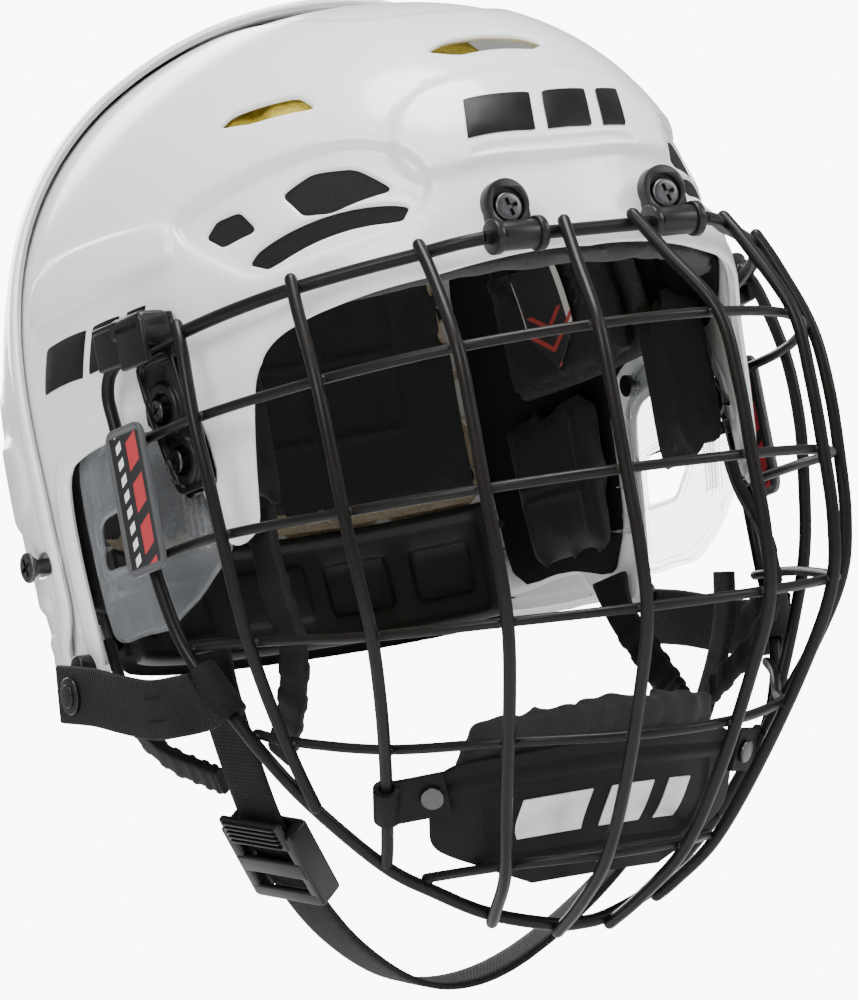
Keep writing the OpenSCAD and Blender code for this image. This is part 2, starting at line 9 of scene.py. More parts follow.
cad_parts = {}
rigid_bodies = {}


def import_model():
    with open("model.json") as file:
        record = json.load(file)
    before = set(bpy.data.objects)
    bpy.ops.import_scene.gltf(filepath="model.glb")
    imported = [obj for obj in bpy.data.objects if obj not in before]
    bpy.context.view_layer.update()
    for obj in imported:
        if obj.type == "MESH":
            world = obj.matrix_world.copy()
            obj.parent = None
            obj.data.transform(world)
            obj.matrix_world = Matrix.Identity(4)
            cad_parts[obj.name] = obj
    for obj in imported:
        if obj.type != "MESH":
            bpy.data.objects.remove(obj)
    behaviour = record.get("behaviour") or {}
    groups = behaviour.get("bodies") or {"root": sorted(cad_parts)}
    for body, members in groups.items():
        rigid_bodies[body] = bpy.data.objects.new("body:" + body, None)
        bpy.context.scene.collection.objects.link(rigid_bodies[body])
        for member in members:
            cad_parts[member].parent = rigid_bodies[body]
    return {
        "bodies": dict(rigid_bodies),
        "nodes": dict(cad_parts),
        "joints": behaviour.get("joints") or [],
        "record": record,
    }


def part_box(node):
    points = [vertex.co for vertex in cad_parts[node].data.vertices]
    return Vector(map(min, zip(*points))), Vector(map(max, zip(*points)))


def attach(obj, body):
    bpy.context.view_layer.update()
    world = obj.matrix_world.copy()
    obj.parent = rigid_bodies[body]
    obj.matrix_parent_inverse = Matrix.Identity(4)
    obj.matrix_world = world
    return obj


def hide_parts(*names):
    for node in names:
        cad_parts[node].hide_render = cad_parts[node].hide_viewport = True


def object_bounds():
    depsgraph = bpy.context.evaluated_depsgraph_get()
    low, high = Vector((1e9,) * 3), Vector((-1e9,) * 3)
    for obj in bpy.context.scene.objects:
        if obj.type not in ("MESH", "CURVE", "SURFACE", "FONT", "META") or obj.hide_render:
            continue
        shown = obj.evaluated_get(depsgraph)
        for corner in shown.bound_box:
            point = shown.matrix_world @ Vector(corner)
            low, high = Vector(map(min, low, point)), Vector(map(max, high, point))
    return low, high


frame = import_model()
cad_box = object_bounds()
bpy.ops.object.select_all(action="DESELECT")

# ---- Studio ----
# The camera stands low in front of the wearer's right cheek. Four large soft lamps and a dim
# even sky light a plain pale floor. A bright backdrop behind them is seen only by the camera.
lens_place = Vector((-0.8274, -1.4403, -0.2258))
sight = Vector((0.4934, 0.8620, 0.1162))
lens_up = Vector((0.1036, -0.1910, 0.9761))
bpy.ops.object.camera_add(location=lens_place)
camera = bpy.context.object
camera.name = "camera"
sight.normalize()
lens_right = sight.cross(lens_up).normalized()
lens_up = lens_right.cross(sight)
camera.matrix_world = Matrix(
    (
        (lens_right.x, lens_up.x, -sight.x, lens_place.x),
        (lens_right.y, lens_up.y, -sight.y, lens_place.y),
        (lens_right.z, lens_up.z, -sight.z, lens_place.z),
        (0, 0, 0, 1),
    )
)
sensor_size, lens_length = 36, 198
camera.data.sensor_width = camera.data.sensor_height = sensor_size
camera.data.sensor_fit = "VERTICAL"
camera.data.lens = lens_length
camera.data.clip_start = 0.05
bpy.context.scene.camera = camera


def lamp(name, place, target, size, power, colour):
    bpy.ops.object.light_add(type="AREA", location=place)
    lit = bpy.context.object
    lit.name = name
    lit.data.shape = "DISK"
    lit.data.size = size
    lit.data.energy = power
    lit.data.color = colour
    lit.rotation_euler = (Vector(target) - Vector(place)).to_track_quat("-Z", "Y").to_euler()


lamp("lamp_left", (-1.7, -1.3, 1.1), (0, 0, 0), 1.2, 40, (1.0, 0.99, 0.97))
lamp("lamp_right", (1.5, -1.4, 0.8), (0, -0.02, 0), 1.0, 22, (0.96, 0.98, 1.0))
lamp("lamp_top", (0.0, -0.5, 1.8), (0, -0.02, 0), 1.1, 66, (0.98, 0.99, 1.0))
lamp("lamp_back", (0.3, 1.8, 0.9), (0, 0, 0), 1.2, 26, (1.0, 1.0, 1.0))
world = bpy.data.worlds.new("studio_air")
bpy.context.scene.world = world
world.use_nodes = True
world.node_tree.nodes["Background"].inputs["Color"].default_value = (0.95, 0.97, 1.0, 1)
world.node_tree.nodes["Background"].inputs["Strength"].default_value = 0.5
backdrop_radius, backdrop_glow = 6.5, 9.0
bpy.ops.mesh.primitive_uv_sphere_add(segments=48, ring_count=24, radius=backdrop_radius)
backdrop = bpy.context.object
backdrop.name = "studio_backdrop"
backdrop.visible_diffuse = backdrop.visible_glossy = backdrop.visible_shadow = False
backdrop.visible_volume_scatter = False
paper = bpy.data.materials.new("backdrop_paper")
paper.use_nodes = True
glow = paper.node_tree.nodes["Principled BSDF"]
glow.inputs["Base Color"].default_value = (0.9, 0.9, 0.9, 1)
glow.inputs["Emission Color"].default_value = (1.0, 1.0, 1.0, 1)
glow.inputs["Emission Strength"].default_value = backdrop_glow
backdrop.data.materials.append(paper)


class Tap:
    """A shader socket that can be reckoned with: an expression on it adds its Math nodes."""

    def __init__(self, tree, socket=None):
        self.tree, self.socket = tree, socket

    def join(self, value, socket):
        if isinstance(value, Tap):
            self.tree.links.new(value.socket, socket)
        else:
            socket.default_value = value

    def node(self, kind, settings=(), out=0, **inputs):
        made = self.tree.nodes.new("ShaderNode" + kind)
        for key, value in dict(settings).items():
            if key == "stops":
                for i, (place, shade) in enumerate(value):
                    stop = made.color_ramp.elements[i] if i < 2 else made.color_ramp.elements.new(place)
                    stop.position, stop.color = place, (*shade, 1)
            else:
                setattr(made, key, value)
        for key, value in inputs.items():
            if key[0] == "i" and key[1:].isdigit():
                self.join(value, made.inputs[int(key[1:])])
            else:
                self.join(value, made.inputs[key.replace("_", " ")])
        return Tap(self.tree, made.outputs[out])

    def sum(self, operation, a, b=0.0):
        return self.node("Math", {"operation": operation}, i0=a, i1=b)

    def __add__(self, other):
        return self.sum("ADD", self, other)

    def __sub__(self, other):
        return self.sum("SUBTRACT", self, other)

    def __rsub__(self, other):
        return self.sum("SUBTRACT", other, self)

    def __mul__(self, other):
        return self.sum("MULTIPLY", self, other)

    __radd__, __rmul__ = __add__, __mul__

    def noise(self, scale, detail):
        return self.node("TexNoise", Vector=self, Scale=scale, Detail=detail)

    def cells(self, feature, scale):
        return self.node("TexVoronoi", {"feature": feature}, Vector=self, Scale=scale)

    def axis(self, index):
        return self.node("SeparateXYZ", out=index, Vector=self)

    def bump(self, strength, distance):
        return self.node("Bump", Strength=strength, Distance=distance, Height=self)

    def below(self, limit):
        return self.sum("LESS_THAN", self, limit)

    def above(self, limit):
        return self.sum("GREATER_THAN", self, limit)

    def size(self):
        return self.sum("ABSOLUTE", self)

    def wave(self, half):
        return self.sum("PINGPONG", self, half)

    def clamp(self, low, high):
        return self.node("MapRange", Value=self, From_Min=low, From_Max=high)

    def mix(self, dark, light):
        """This tap blends the first colour into the second."""
        return self.node("Mix", {"data_type": "RGBA"}, out=2, i0=self, i6=dark, i7=light)


def finish(name, recipe, **fixed):
    """A material: recipe(where) gives what varies, and fixed sets the shader's own sockets."""
    made = bpy.data.materials.new(name)
    made.use_nodes = True
    tap = Tap(made.node_tree)
    shader = made.node_tree.nodes["Principled BSDF"]
    for key, value in fixed.items():
        shader.inputs[key.replace("_", " ")].default_value = value
    varied = recipe(tap.node("TexCoord", out="Object"))
    for key, value in varied.items():
        tap.join(value, shader.inputs[key.replace("_", " ")])
    return made


def studio_floor(where):
    haze = where.noise(3.0, 2.0)
    return {"Base_Color": haze.mix((0.83, 0.84, 0.85, 1), (0.86, 0.865, 0.87, 1))}


floor_size, floor_gap = 14, 0.22
bpy.ops.mesh.primitive_plane_add(size=floor_size, location=(0, 0, cad_box[0].z - floor_gap))
floor = bpy.context.object
floor.name = "studio_floor"
floor.data.materials.append(finish("floor_paint", studio_floor, Roughness=0.7))

# ---- Shell, front half ----
# A moulded shell of glossy white plastic, 3 mm thick, with a raised forehead, recessed side
# panels and slotted vents. It is drawn as one curved skin on an egg-like form.
mm = 0.001
sides = ((1, "l"), (-1, "r"))
half_width, front_reach, rear_reach = 0.102, 0.155, 0.106
widest_y, widest_z, crown_height, skirt_depth = 0.041, 0.006, 0.120, 0.190
plan_power, side_power, nape_tuck, nape_depth = 2.2, 2.35, 0.12, 0.080
strip = 0.190  # height that one unit of the chart covers below the widest level
mean_radius = 0.128  # of the form, for spacing the mesh
rim_pitch, hole_pitch, field_pitch, lip_slope = 0.0018, 0.0012, 0.002, 0.0024


def signed_power(v, p):
    return np.sign(v) * np.abs(v) ** p


def on_dome(chart, depth=0.0):
    """Points of the helmet's form grown by depth. The chart is the form seen as a flattened
    bowl: its middle is the crown, radius 1 the widest level, and -Y the face."""
    chart = np.asarray(chart, float)
    radius = np.hypot(chart[:, 0], chart[:, 1])
    sine = chart[:, 0] / np.maximum(radius, 1e-9)
    cosine = -chart[:, 1] / np.maximum(radius, 1e-9)
    turn = np.clip(radius, 0, 1) * math.pi / 2
    low = widest_z - (radius - 1) * strip
    z = np.where(radius < 1, widest_z + (crown_height + depth) * np.cos(turn) ** (2 / side_power), low)
    fall = 1 - np.clip((widest_z - low) / skirt_depth, 0, 1) ** side_power
    k = np.where(radius < 1, np.sin(turn) ** (2 / side_power), np.maximum(fall, 1e-6) ** (1 / side_power))
    tuck = 1 - nape_tuck * (np.minimum(cosine, 0) * np.maximum(widest_z - z, 0) / nape_depth) ** 2
    reach = np.where(cosine > 0, front_reach, rear_reach) + depth
    return np.column_stack(
        (
            (half_width + depth) * k * signed_power(sine, 2 / plan_power),
            widest_y - reach * tuck * k * signed_power(cosine, 2 / plan_power),
            z,
        )
    )


def chart_radius(z):
    rise = np.clip((z - widest_z) / crown_height, 0, 1)
    return np.where(z > widest_z, np.arccos(rise ** (side_power / 2)) / (math.pi / 2),
                    1 + (widest_z - z) / strip)


def form_level(z):
    span = np.where(z > widest_z, crown_height, skirt_depth)
    return np.maximum(1 - np.clip(np.abs(z - widest_z) / span, 0, 1) ** side_power, 1e-6) ** (1 / side_power)


def from_side(points, side):
    """Chart places of [y, z] points in mm on the side of the form: side is 1 for the wearer's left."""
    y, z = np.array(points, float).T * mm
    k = form_level(z)
    cosine = np.zeros(len(y))
    for _ in range(4):
        tuck = 1 - nape_tuck * (np.minimum(cosine, 0) * np.maximum(widest_z - z, 0) / nape_depth) ** 2
        along = (widest_y - y) / (np.where(y < widest_y, front_reach, rear_reach) * tuck * k)
        cosine = signed_power(np.clip(along, -1, 1), plan_power / 2)
    sine = np.sqrt(1 - cosine**2) * side
    return np.column_stack((sine, -cosine)) * chart_radius(z)[:, None]


def from_front(points, face=1):
    """Chart places of [x, z] points in mm on the front of the form, or on its back if face is -1."""
    x, z = np.array(points, float).T * mm
    sine = signed_power(np.clip(x / (half_width * form_level(z)), -1, 1), plan_power / 2)
    return np.column_stack((sine, -face * np.sqrt(1 - sine**2))) * chart_radius(z)[:, None]


def from_top(points):
    """Chart places of [x, y] points in mm seen from above."""
    x, y = np.array(points, float).T * mm
    reach = np.where(y < widest_y, front_reach, rear_reach)
    k = (np.abs(x / half_width) ** plan_power
         + np.abs((y - widest_y) / reach) ** plan_power) ** (1 / plan_power)
    k = np.clip(k, 1e-6, 1)
    sine = signed_power(x / half_width / k, plan_power / 2)
    cosine = signed_power((widest_y - y) / reach / k, plan_power / 2)
    length = np.hypot(sine, cosine)
    radius = np.arcsin(k ** (side_power / 2)) * 2 / math.pi
    return np.column_stack((sine, -cosine)) / length[:, None] * radius[:, None]


def rounded(loop, cut=0.25, passes=3):
    """A closed loop with its corners rounded."""
    for _ in range(passes):
        ahead = np.roll(loop, -1, axis=0)
        loop = np.stack((loop + cut * (ahead - loop), ahead - cut * (ahead - loop)), 1).reshape(-1, 2)
    return loop


def side_loop(points, side, cut, passes):
    """A rounded loop through [y, z] points in mm on one side of the form."""
    return rounded(from_side(points, side), cut, passes)


def spaced(loop, depth, pitch):
    """The closed loop with its points pitch apart on the form."""
    ring = np.vstack((loop, loop[:1]))
    fine = np.vstack([ring[:-1] + (ring[1:] - ring[:-1]) * t for t in np.linspace(0, 1, 9)[:-1]])
    fine = fine.reshape(8, len(loop), 2).transpose(1, 0, 2).reshape(-1, 2)
    fine = np.vstack((fine, fine[:1]))
    far = np.concatenate(([0], np.cumsum(np.linalg.norm(np.diff(on_dome(fine, depth), axis=0), axis=1))))
    count = max(8, int(round(far[-1] / pitch)))
    want = np.linspace(0, far[-1], count + 1)[:-1]
    return np.column_stack((np.interp(want, far, fine[:, 0]), np.interp(want, far, fine[:, 1])))


def beside(loop, depth, offset):
    """The loop moved offset to its inside (positive) along the form's own surface."""
    step = 1e-4
    here = on_dome(loop, depth)
    across = (on_dome(loop + [step, 0], depth) - here) / step
    along = (on_dome(loop + [0, step], depth) - here) / step
    e, f, g = (across * across).sum(1), (across * along).sum(1), (along * along).sum(1)
    way = np.roll(loop, -1, axis=0) - np.roll(loop, 1, axis=0)
    area = np.sum(loop[:, 0] * np.roll(loop[:, 1], -1) - np.roll(loop[:, 0], -1) * loop[:, 1])
    left = np.column_stack((-(f * way[:, 0] + g * way[:, 1]), e * way[:, 0] + f * way[:, 1]))
    left *= np.sign(area)
    size = np.sqrt(e * left[:, 0] ** 2 + 2 * f * left[:, 0] * left[:, 1] + g * left[:, 1] ** 2)
    return loop + left / size[:, None] * offset


def inside(points, loop):
    hit = np.zeros(len(points), bool)
    x, y = points[:, 0], points[:, 1]
    for (ax, ay), (bx, by) in zip(loop, np.roll(loop, -1, axis=0)):
        crosses = (ay > y) != (by > y)
        with np.errstate(divide="ignore", invalid="ignore"):
            hit ^= crosses & (x < (bx - ax) * (y - ay) / (by - ay) + ax)
    return hit


def nearest_point(points, cloud):
    """Index of the cloud's nearest point to each point, and how far off it is."""
    tree = kdtree.KDTree(len(cloud))
    for i, p in enumerate(cloud):
        tree.insert(p, i)
    tree.balance()
    found = [tree.find(p) for p in points]
    return np.array([f[1] for f in found], int), np.array([f[2] for f in found])


def distance_to(points, line):
    """How far each 3-D point lies from the closed 3-D line."""
    index, best = nearest_point(points, line)
    for shift in (0, -1):
        a = line[(index + shift) % len(line)]
        way = line[(index + shift + 1) % len(line)] - a
        t = np.clip(((points - a) * way).sum(1) / np.maximum((way * way).sum(1), 1e-18), 0, 1)
        best = np.minimum(best, np.linalg.norm(points - a - t[:, None] * way, axis=1))
    return best


def step_up(t):
    t = np.clip(t, 0, 1)
    return t * t * (3 - 2 * t)


def pick(*pieces):
    """Selects only these pieces, the first of them active."""
    bpy.ops.object.select_all(action="DESELECT")
    for piece in pieces:
        piece.select_set(True)
    bpy.context.view_layer.objects.active = pieces[0]


def mesh_piece(name, places, faces):
    mesh = bpy.data.meshes.new(name)
    mesh.from_pydata(places, [], faces)
    made = bpy.data.objects.new(name, mesh)
    bpy.context.collection.objects.link(made)
    return made


def edit(piece, *steps):
    """Runs the steps on all of the piece in edit mode."""
    pick(piece)
    bpy.ops.object.mode_set(mode="EDIT")
    bpy.ops.mesh.select_all(action="SELECT")
    for step, settings in steps:
        step(**settings)
    bpy.ops.object.mode_set(mode="OBJECT")


def creased(degrees):
    """Smooth shading on the active piece, apart from edges sharper than this."""
    bpy.ops.object.shade_smooth_by_angle(angle=math.radians(degrees))


def skin(name, outline, holes=(), raises=(), depth=0.0, wall=0.003, pitch=0.0026, edge=0.0014,
         lip=None, face=1):
    """A curved moulding of the form. outline and holes are closed chart loops. raises are
    (loop, height, slope width) for raised or sunk fields. lip is (loop, width, height) for a band
    raised along an edge. face is 1 for a skin seen from outside, and -1 from inside."""
    loops = [spaced(outline, depth, rim_pitch)] + [spaced(h, depth, hole_pitch) for h in holes]
    lines = []
    for i, loop in enumerate(loops):
        way = 1 if i == 0 else -1
        lines += [loop] + [beside(loop, depth, way * edge * t) for t in (0.12, 0.45, 1.0)]
    fields = []
    for loop, height, slope in raises:
        middle = spaced(loop, depth, field_pitch)
        fields.append((middle, height, slope))
        lines += [beside(middle, depth, slope * t) for t in (-0.5, -0.25, 0.0, 0.25, 0.5)]
    if lip:
        lip_loop = spaced(lip[0], depth, field_pitch)
        lines += [beside(lip_loop, depth, t) for t in (lip[1], lip[1] + lip_slope / 2, lip[1] + lip_slope)]
    boundary = loops[0]
    reach = np.hypot(*boundary.T).max() + 0.05
    grid = [(0.0, 0.0)]
    ring_step = pitch / strip
    for i in range(1, int(reach / ring_step) + 1):
        radius = i * ring_step
        count = max(6, int(2 * math.pi * min(radius, 1.25) * mean_radius / pitch))
        turns = (np.arange(count) + 0.5 * (i % 2)) * 2 * math.pi / count
        grid += list(np.column_stack((radius * np.sin(turns), -radius * np.cos(turns))))
    grid = np.array(grid)
    grid = grid[inside(grid, boundary)]
    for hole in loops[1:]:
        grid = grid[~inside(grid, hole)]
    place = on_dome(grid, depth)
    near = nearest_point(place, on_dome(np.vstack(lines), depth))[1]
    grid = grid[near > pitch * 0.6]
    points = [grid]
    edges = []
    start = len(grid)
    kept_lines = []
    for number, line in enumerate(lines):
        keep = np.ones(len(line), bool)
        if number >= 4 * len(loops) or number % 4:
            keep = inside(line, boundary)
            for hole in loops[1:]:
                keep &= ~inside(line, hole)
            rim = nearest_point(on_dome(line, depth), on_dome(np.vstack(loops), depth))[1]
            keep &= rim > edge * 0.1
        kept_lines.append(keep)
        index = np.cumsum(keep) - 1 + start
        after = np.roll(keep, -1)
        for a in np.nonzero(keep & after)[0]:
            edges.append((int(index[a]), int(index[(a + 1) % len(line)])))
        points.append(line[keep])
        start += int(keep.sum())
    points = np.vstack(points)
    made = geometry.delaunay_2d_cdt([Vector(p) for p in points], edges, [], 0, 1e-7, False)
    flat = np.array([v[:] for v in made[0]])
    tris = np.array([f for f in made[2] if len(f) == 3])
    centre = flat[tris].mean(axis=1)
    keep = inside(centre, boundary)
    for hole in loops[1:]:
        keep &= ~inside(centre, hole)
    tris = tris[keep]
    base = on_dome(flat, depth)
    height = np.zeros(len(flat))
    for loop, rise, slope in fields:
        gap = distance_to(base, on_dome(loop, depth)) * np.where(inside(flat, loop), 1, -1)
        height += rise * step_up(gap / slope + 0.5)
    if lip:
        gap = distance_to(base, on_dome(lip_loop, depth))
        height += lip[2] * (1 - step_up((gap - lip[1]) / lip_slope))
    rim = np.min([distance_to(base, on_dome(b, depth)) for b in loops], axis=0)
    into = np.clip(edge - rim, 0, edge)
    height -= edge - np.sqrt(np.maximum(edge**2 - into**2, 0))
    outward = on_dome(flat, depth + face * 0.001) - base
    outward /= np.linalg.norm(outward, axis=1)[:, None]
    place = base + outward * height[:, None]
    a, b, c = place[tris[:, 0]], place[tris[:, 1]], place[tris[:, 2]]
    facing = (np.cross(b - a, c - a) * outward[tris[:, 0]]).sum(1)
    tris[facing < 0] = tris[facing < 0][:, ::-1]
    piece = mesh_piece(name, place.tolist(), tris.tolist())
    edit(piece, (bpy.ops.mesh.remove_doubles, {"threshold": 0.00005}), (bpy.ops.mesh.delete_loose, {}))
    thick = piece.modifiers.new("wall", "SOLIDIFY")
    thick.thickness, thick.offset, thick.use_even_offset = wall, -1, wall < 0.004
    bpy.ops.object.modifier_apply(modifier="wall")
    creased(38)
    return piece


def settle(piece, body, slot, coat, *nodes):
    """The piece gets its finish, rides on its body and stands for its CAD nodes."""
    piece.data.materials.clear()
    piece.data.materials.append(coat)
    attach(piece, body)
    if nodes:
        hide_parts(*nodes)


def both_sides(points):
    """A right-side outline from the front middle to the back middle, closed by its mirror image."""
    return np.vstack((points, (points * [-1, 1])[::-1]))


opening_front = from_front([[0.5, 21], [15, 21], [30, 20], [44, 18.5]])
opening_side = from_side([[-95, 18], [-84, 16.5], [-72, 14.5], [-62, 11], [-56, 5], [-53, -4], [-50, -18],
                          [-47, -33], [-45.5, -39], [-41, -42.5], [-35, -43.5], [-31, -40], [-28.5, -30],
                          [-26, -18], [-22.5, -8], [-15, -3.2], [-4, -2.6], [32, -2.6], [40, -5], [44, -14],
                          [45.5, -34], [46.5, -56], [50, -64.5], [56, -67], [65, -66], [74, -62], [84, -44],
                          [84, -14], [77, 0], [75, 20], [75, 60], [75, 90]], 1)
opening_back = from_top([[40, 75], [20, 75], [0.5, 75]])
front_outline = rounded(both_sides(np.vstack((opening_front, opening_side, opening_back))), 0.25, 2)

vent_loops, panel_loops = [], []
for side in (1, -1):
    vent_loops += [
        side_loop([[-68, 77.6], [-60.5, 83.2], [-41, 83.4], [-38.5, 80.4], [-50, 78.6]], side, 0.1, 2),
        side_loop([[-65.5, 54.4], [-73, 58.6], [-83.5, 56.8], [-93, 47.6], [-80, 45], [-72.5, 46.4]], side,
                  0.1, 2),
        side_loop([[-58.5, 46], [-52, 53.2], [-44, 52.6], [-40.5, 48.5], [-47, 44]], side, 0.1, 2),
        side_loop([[-96.5, 41.8], [-95.5, 37.4], [-63, 33], [-56.5, 36.2], [-59.5, 39.4]], side, 0.1, 2),
    ]
    panel_loops.append(
        side_loop([[-27, 56], [-40, 59.5], [-56, 63], [-72, 65], [-86, 62.5], [-96, 53], [-99.5, 45],
                           [-99, 36], [-86, 32.5], [-60, 29], [-44, 40], [-34, 47]], side, 0.2, 3)
    )
vent_loops.append(
    rounded(from_front([[-21, 89.4], [-13, 86.8], [0, 88], [12, 87], [18.5, 89.2], [13.5, 92.2], [0, 93.8],
                        [-13, 92.8]]), 0.12, 2)
)
forehead = rounded(from_front([[-44, 49], [-36, 47.5], [0, 47], [36, 47.5], [44, 49], [46, 58], [41, 68],
                               [32, 75],
                               [14, 78.5], [0, 79], [-14, 78.5], [-32, 75], [-41, 68], [-46, 58]]), 0.2, 3)
groove = rounded(from_front([[-28, 50.5], [-27, 53.2], [0, 52.6], [27, 53.2], [28, 50.5], [0, 49.6]]), 0.2, 3)
rib_loops = [
    side_loop([[-30, 40.5], [-27, 55.5], [-10, 57], [10, 58.5], [34, 59], [52, 55], [53, 42], [20, 41]], side,
              0.2, 3)
    for side in (1, -1)
]
crown_field = rounded(from_top([[-27, -52], [0, -58], [27, -52], [34, -20], [36, 20], [30, 60], [-30, 60],
                                [-36, 20],
                                [-34, -20]]), 0.25, 3)


def shell_paint(where):
    peel = where.noise(420.0, 2.0)
    cloud = where.noise(9.0, 3.0)
    return {
        "Base_Color": cloud.mix((0.80, 0.80, 0.785, 1), (0.86, 0.865, 0.86, 1)),
        "Roughness": cloud * 0.06 + 0.2,
        "Normal": peel.bump(0.04, 0.0004),
    }


white_shell = finish("white_shell", shell_paint, Coat_Weight=0.35, Coat_Roughness=0.08, IOR=1.5)
forehead_rise = 0.0026
raises = [(forehead, forehead_rise, 0.0034), (groove, -0.0012, 0.0018), (crown_field, -0.0012, 0.005)]
raises += [(loop, -0.0026, 0.0024) for loop in panel_loops] + [(loop, 0.0018, 0.0030) for loop in rib_loops]
front_shell = skin("front_shell_skin", front_outline, vent_loops, raises, lip=(front_outline, 0.0065, 0.0006))
settle(front_shell, "helmet", "shell_white", white_shell, "front_shell")

# ---- Shell, rear half ----
# A second white moulding that laps over the front half and slides back on two screws. It has
# a raised spine, sunk side panels, four slots at the back and a round hole behind each ear.
rear_gap = 0.0035


def ring(y, z, half_long, half_high, count=20):
    turns = np.arange(count) * 2 * math.pi / count
    return np.column_stack((y + half_long * np.cos(turns), z + half_high * np.sin(turns)))


rear_edge = np.vstack((
    from_top([[0.5, 8.6], [16, 10.5]]),
    from_side([[20, 119], [42, 105], [56, 84], [60, 62], [57, 20], [54, -10], [54, -42], [58, -50], [66, -56],
               [68, -64], [96, -64]], 1),
    from_front([[62, -62.4], [30, -59.6], [0.5, -59]], -1),
))
rear_outline = rounded(both_sides(rear_edge), 0.25, 2)
rear_holes, rear_raises = [], []
slot_shape = ((-14, 0), (14, 0), (10, 6.4), (-10, 6.4))
for side in (1, -1):
    rear_holes += [
        from_side(ring(91, -30, 7.4, 5.2), side),
        side_loop([[77, -31.6], [77, -24.6], [57.5, -26.0], [57.5, -33.0]], side, 0.25, 3),
    ]
    rear_holes += [
        rounded(from_front([[side * 26 + x, z + rise] for x, rise in slot_shape], -1), 0.12, 2)
        for z in (67, 37)
    ]
    rear_raises += [
        (side_loop([[72, 88], [84, 98], [106, 76], [116, 48], [112, 22], [78, 26], [70, 52]], side, 0.2, 3),
         -0.0018, 0.0034),
        (side_loop([[64, 8], [88, 12], [112, 6], [116, -14], [96, -14], [66, -12]], side, 0.2, 3), 0.0013,
         0.0040),
        (side_loop([[64, -38], [80, -43], [108, -42], [118, -34], [122, -48], [104, -54], [72, -52]], side,
                   0.2, 3), -0.0012, 0.0032),
    ]
spine = np.vstack((from_top([[-15, 26], [15, 26], [21, 76]]),
                   from_front([[23, 96], [17, 30], [11, 18], [-11, 18], [-17, 30], [-23, 96]], -1),
                   from_top([[-21, 76]])))
rear_raises.append((rounded(spine, 0.2, 3), 0.0018, 0.0045))
rear_shell = skin("rear_shell_skin", rear_outline, rear_holes, rear_raises, depth=rear_gap,
                  lip=(rear_outline, 0.0045, 0.0005))
settle(rear_shell, "rear_half", "shell_white", white_shell, "rear_shell")

# ---- Printed marks ----
# Plain slanted bars printed in black on the forehead and on both sides, each a thin film of
# ink that follows the shell.


def ink(where):
    wear = where.noise(160.0, 3.0)
    return {"Base_Color": wear.mix((0.005, 0.005, 0.005, 1), (0.011, 0.011, 0.012, 1)),
            "Roughness": wear * 0.15 + 0.27}


mark_ink = finish("mark_ink", ink, Specular_IOR_Level=0.12)


def fuse(name, parts):
    """The parts become one piece, its place kept in its mesh."""
    pick(*parts)
    if len(parts) > 1:
        bpy.ops.object.join()
    whole = bpy.context.view_layer.objects.active
    whole.name = whole.data.name = name
    bpy.ops.object.transform_apply()
    return whole


film, film_rise = 0.00022, 0.0003
bars = []
for left, wide in ((-27, 20), (-3, 15), (16, 9)):
    loop = from_front([[left, 56], [left + wide, 56], [left + wide + 4, 68.5], [left + 4, 68.5]])
    bars.append(skin("bar", loop, depth=forehead_rise + film_rise, wall=film, edge=0.00015, pitch=0.004))
settle(fuse("forehead_mark", bars), "helmet", "shell_white", mark_ink)
for side, word in sides:
    bars = []
    for left, wide in ((-12, 9), (1, 15), (20, 26)):
        loop = from_side([[left, 20], [left + wide, 20], [left + wide - 5, 33.5], [left - 5, 33.5]], side)
        bars.append(skin("bar", loop, depth=film_rise, wall=film, edge=0.00015, pitch=0.004))
    settle(fuse("side_mark_" + word, bars), "helmet", "shell_white", mark_ink)

# ---- Lining ----
# Blocks of stiff beaded foam, yellow and buff, are glued inside the shell with channels behind
# its slots. Soft black pads with a moulded honeycomb lie over them where the head touches.


def at_azimuth(az, z):
    """Chart places at these azimuths in degrees and levels in mm."""
    turn = np.radians(az)
    return np.column_stack((np.sin(turn), -np.cos(turn))) * chart_radius(np.array(z) * mm)[:, None]


def patch(az0, az1, z0, z1, count=14):
    """A closed loop round a field of the form: az in degrees from the face towards the wearer's left."""
    az = np.concatenate((np.linspace(az0, az1, count), np.full(3, az1),
                         np.linspace(az1, az0, count), np.full(3, az0)))
    z = np.concatenate((np.full(count, z0), np.linspace(z0, z1, 5)[1:-1],
                        np.full(count, z1), np.linspace(z1, z0, 5)[1:-1]))
    return at_azimuth(az, z)


def pad_loop(az0, az1, z0, z1, count=14, cut=0.2):
    """The same field with rounded corners."""
    return rounded(patch(az0, az1, z0, z1, count), cut, 2)


def beads(dark, light, size=520.0):
    def foam(where):
        bead = where.cells("F1", size)
        gap = where.cells("DISTANCE_TO_EDGE", size)
        cloud = where.noise(40.0, 3.0)
        seam = gap.clamp(0.0, 0.12)
        return {
            "Base_Color": (seam * 0.55 + cloud * 0.45).mix(dark, light),
            "Roughness": 0.86 - bead * 0.12,
            "Normal": seam.bump(0.35, 0.0006),
        }

    return foam


yellow = (0.30, 0.22, 0.012, 1), (0.56, 0.43, 0.045, 1)
yellow_foam = finish("yellow_foam", beads(*yellow))
buff_foam = finish("buff_foam", beads((0.34, 0.27, 0.17, 1), (0.58, 0.49, 0.34, 1)))
grey_foam = finish("grey_foam", beads((0.014, 0.014, 0.015, 1), (0.034, 0.034, 0.035, 1), 900.0))
temple_foam = finish("temple_foam", beads((0.005, 0.005, 0.0055, 1), (0.014, 0.014, 0.015, 1), 1400.0),
                     Specular_IOR_Level=0.2)
foam_wall, foam_depth, foam_edge = 0.0102, -0.015, 0.0022


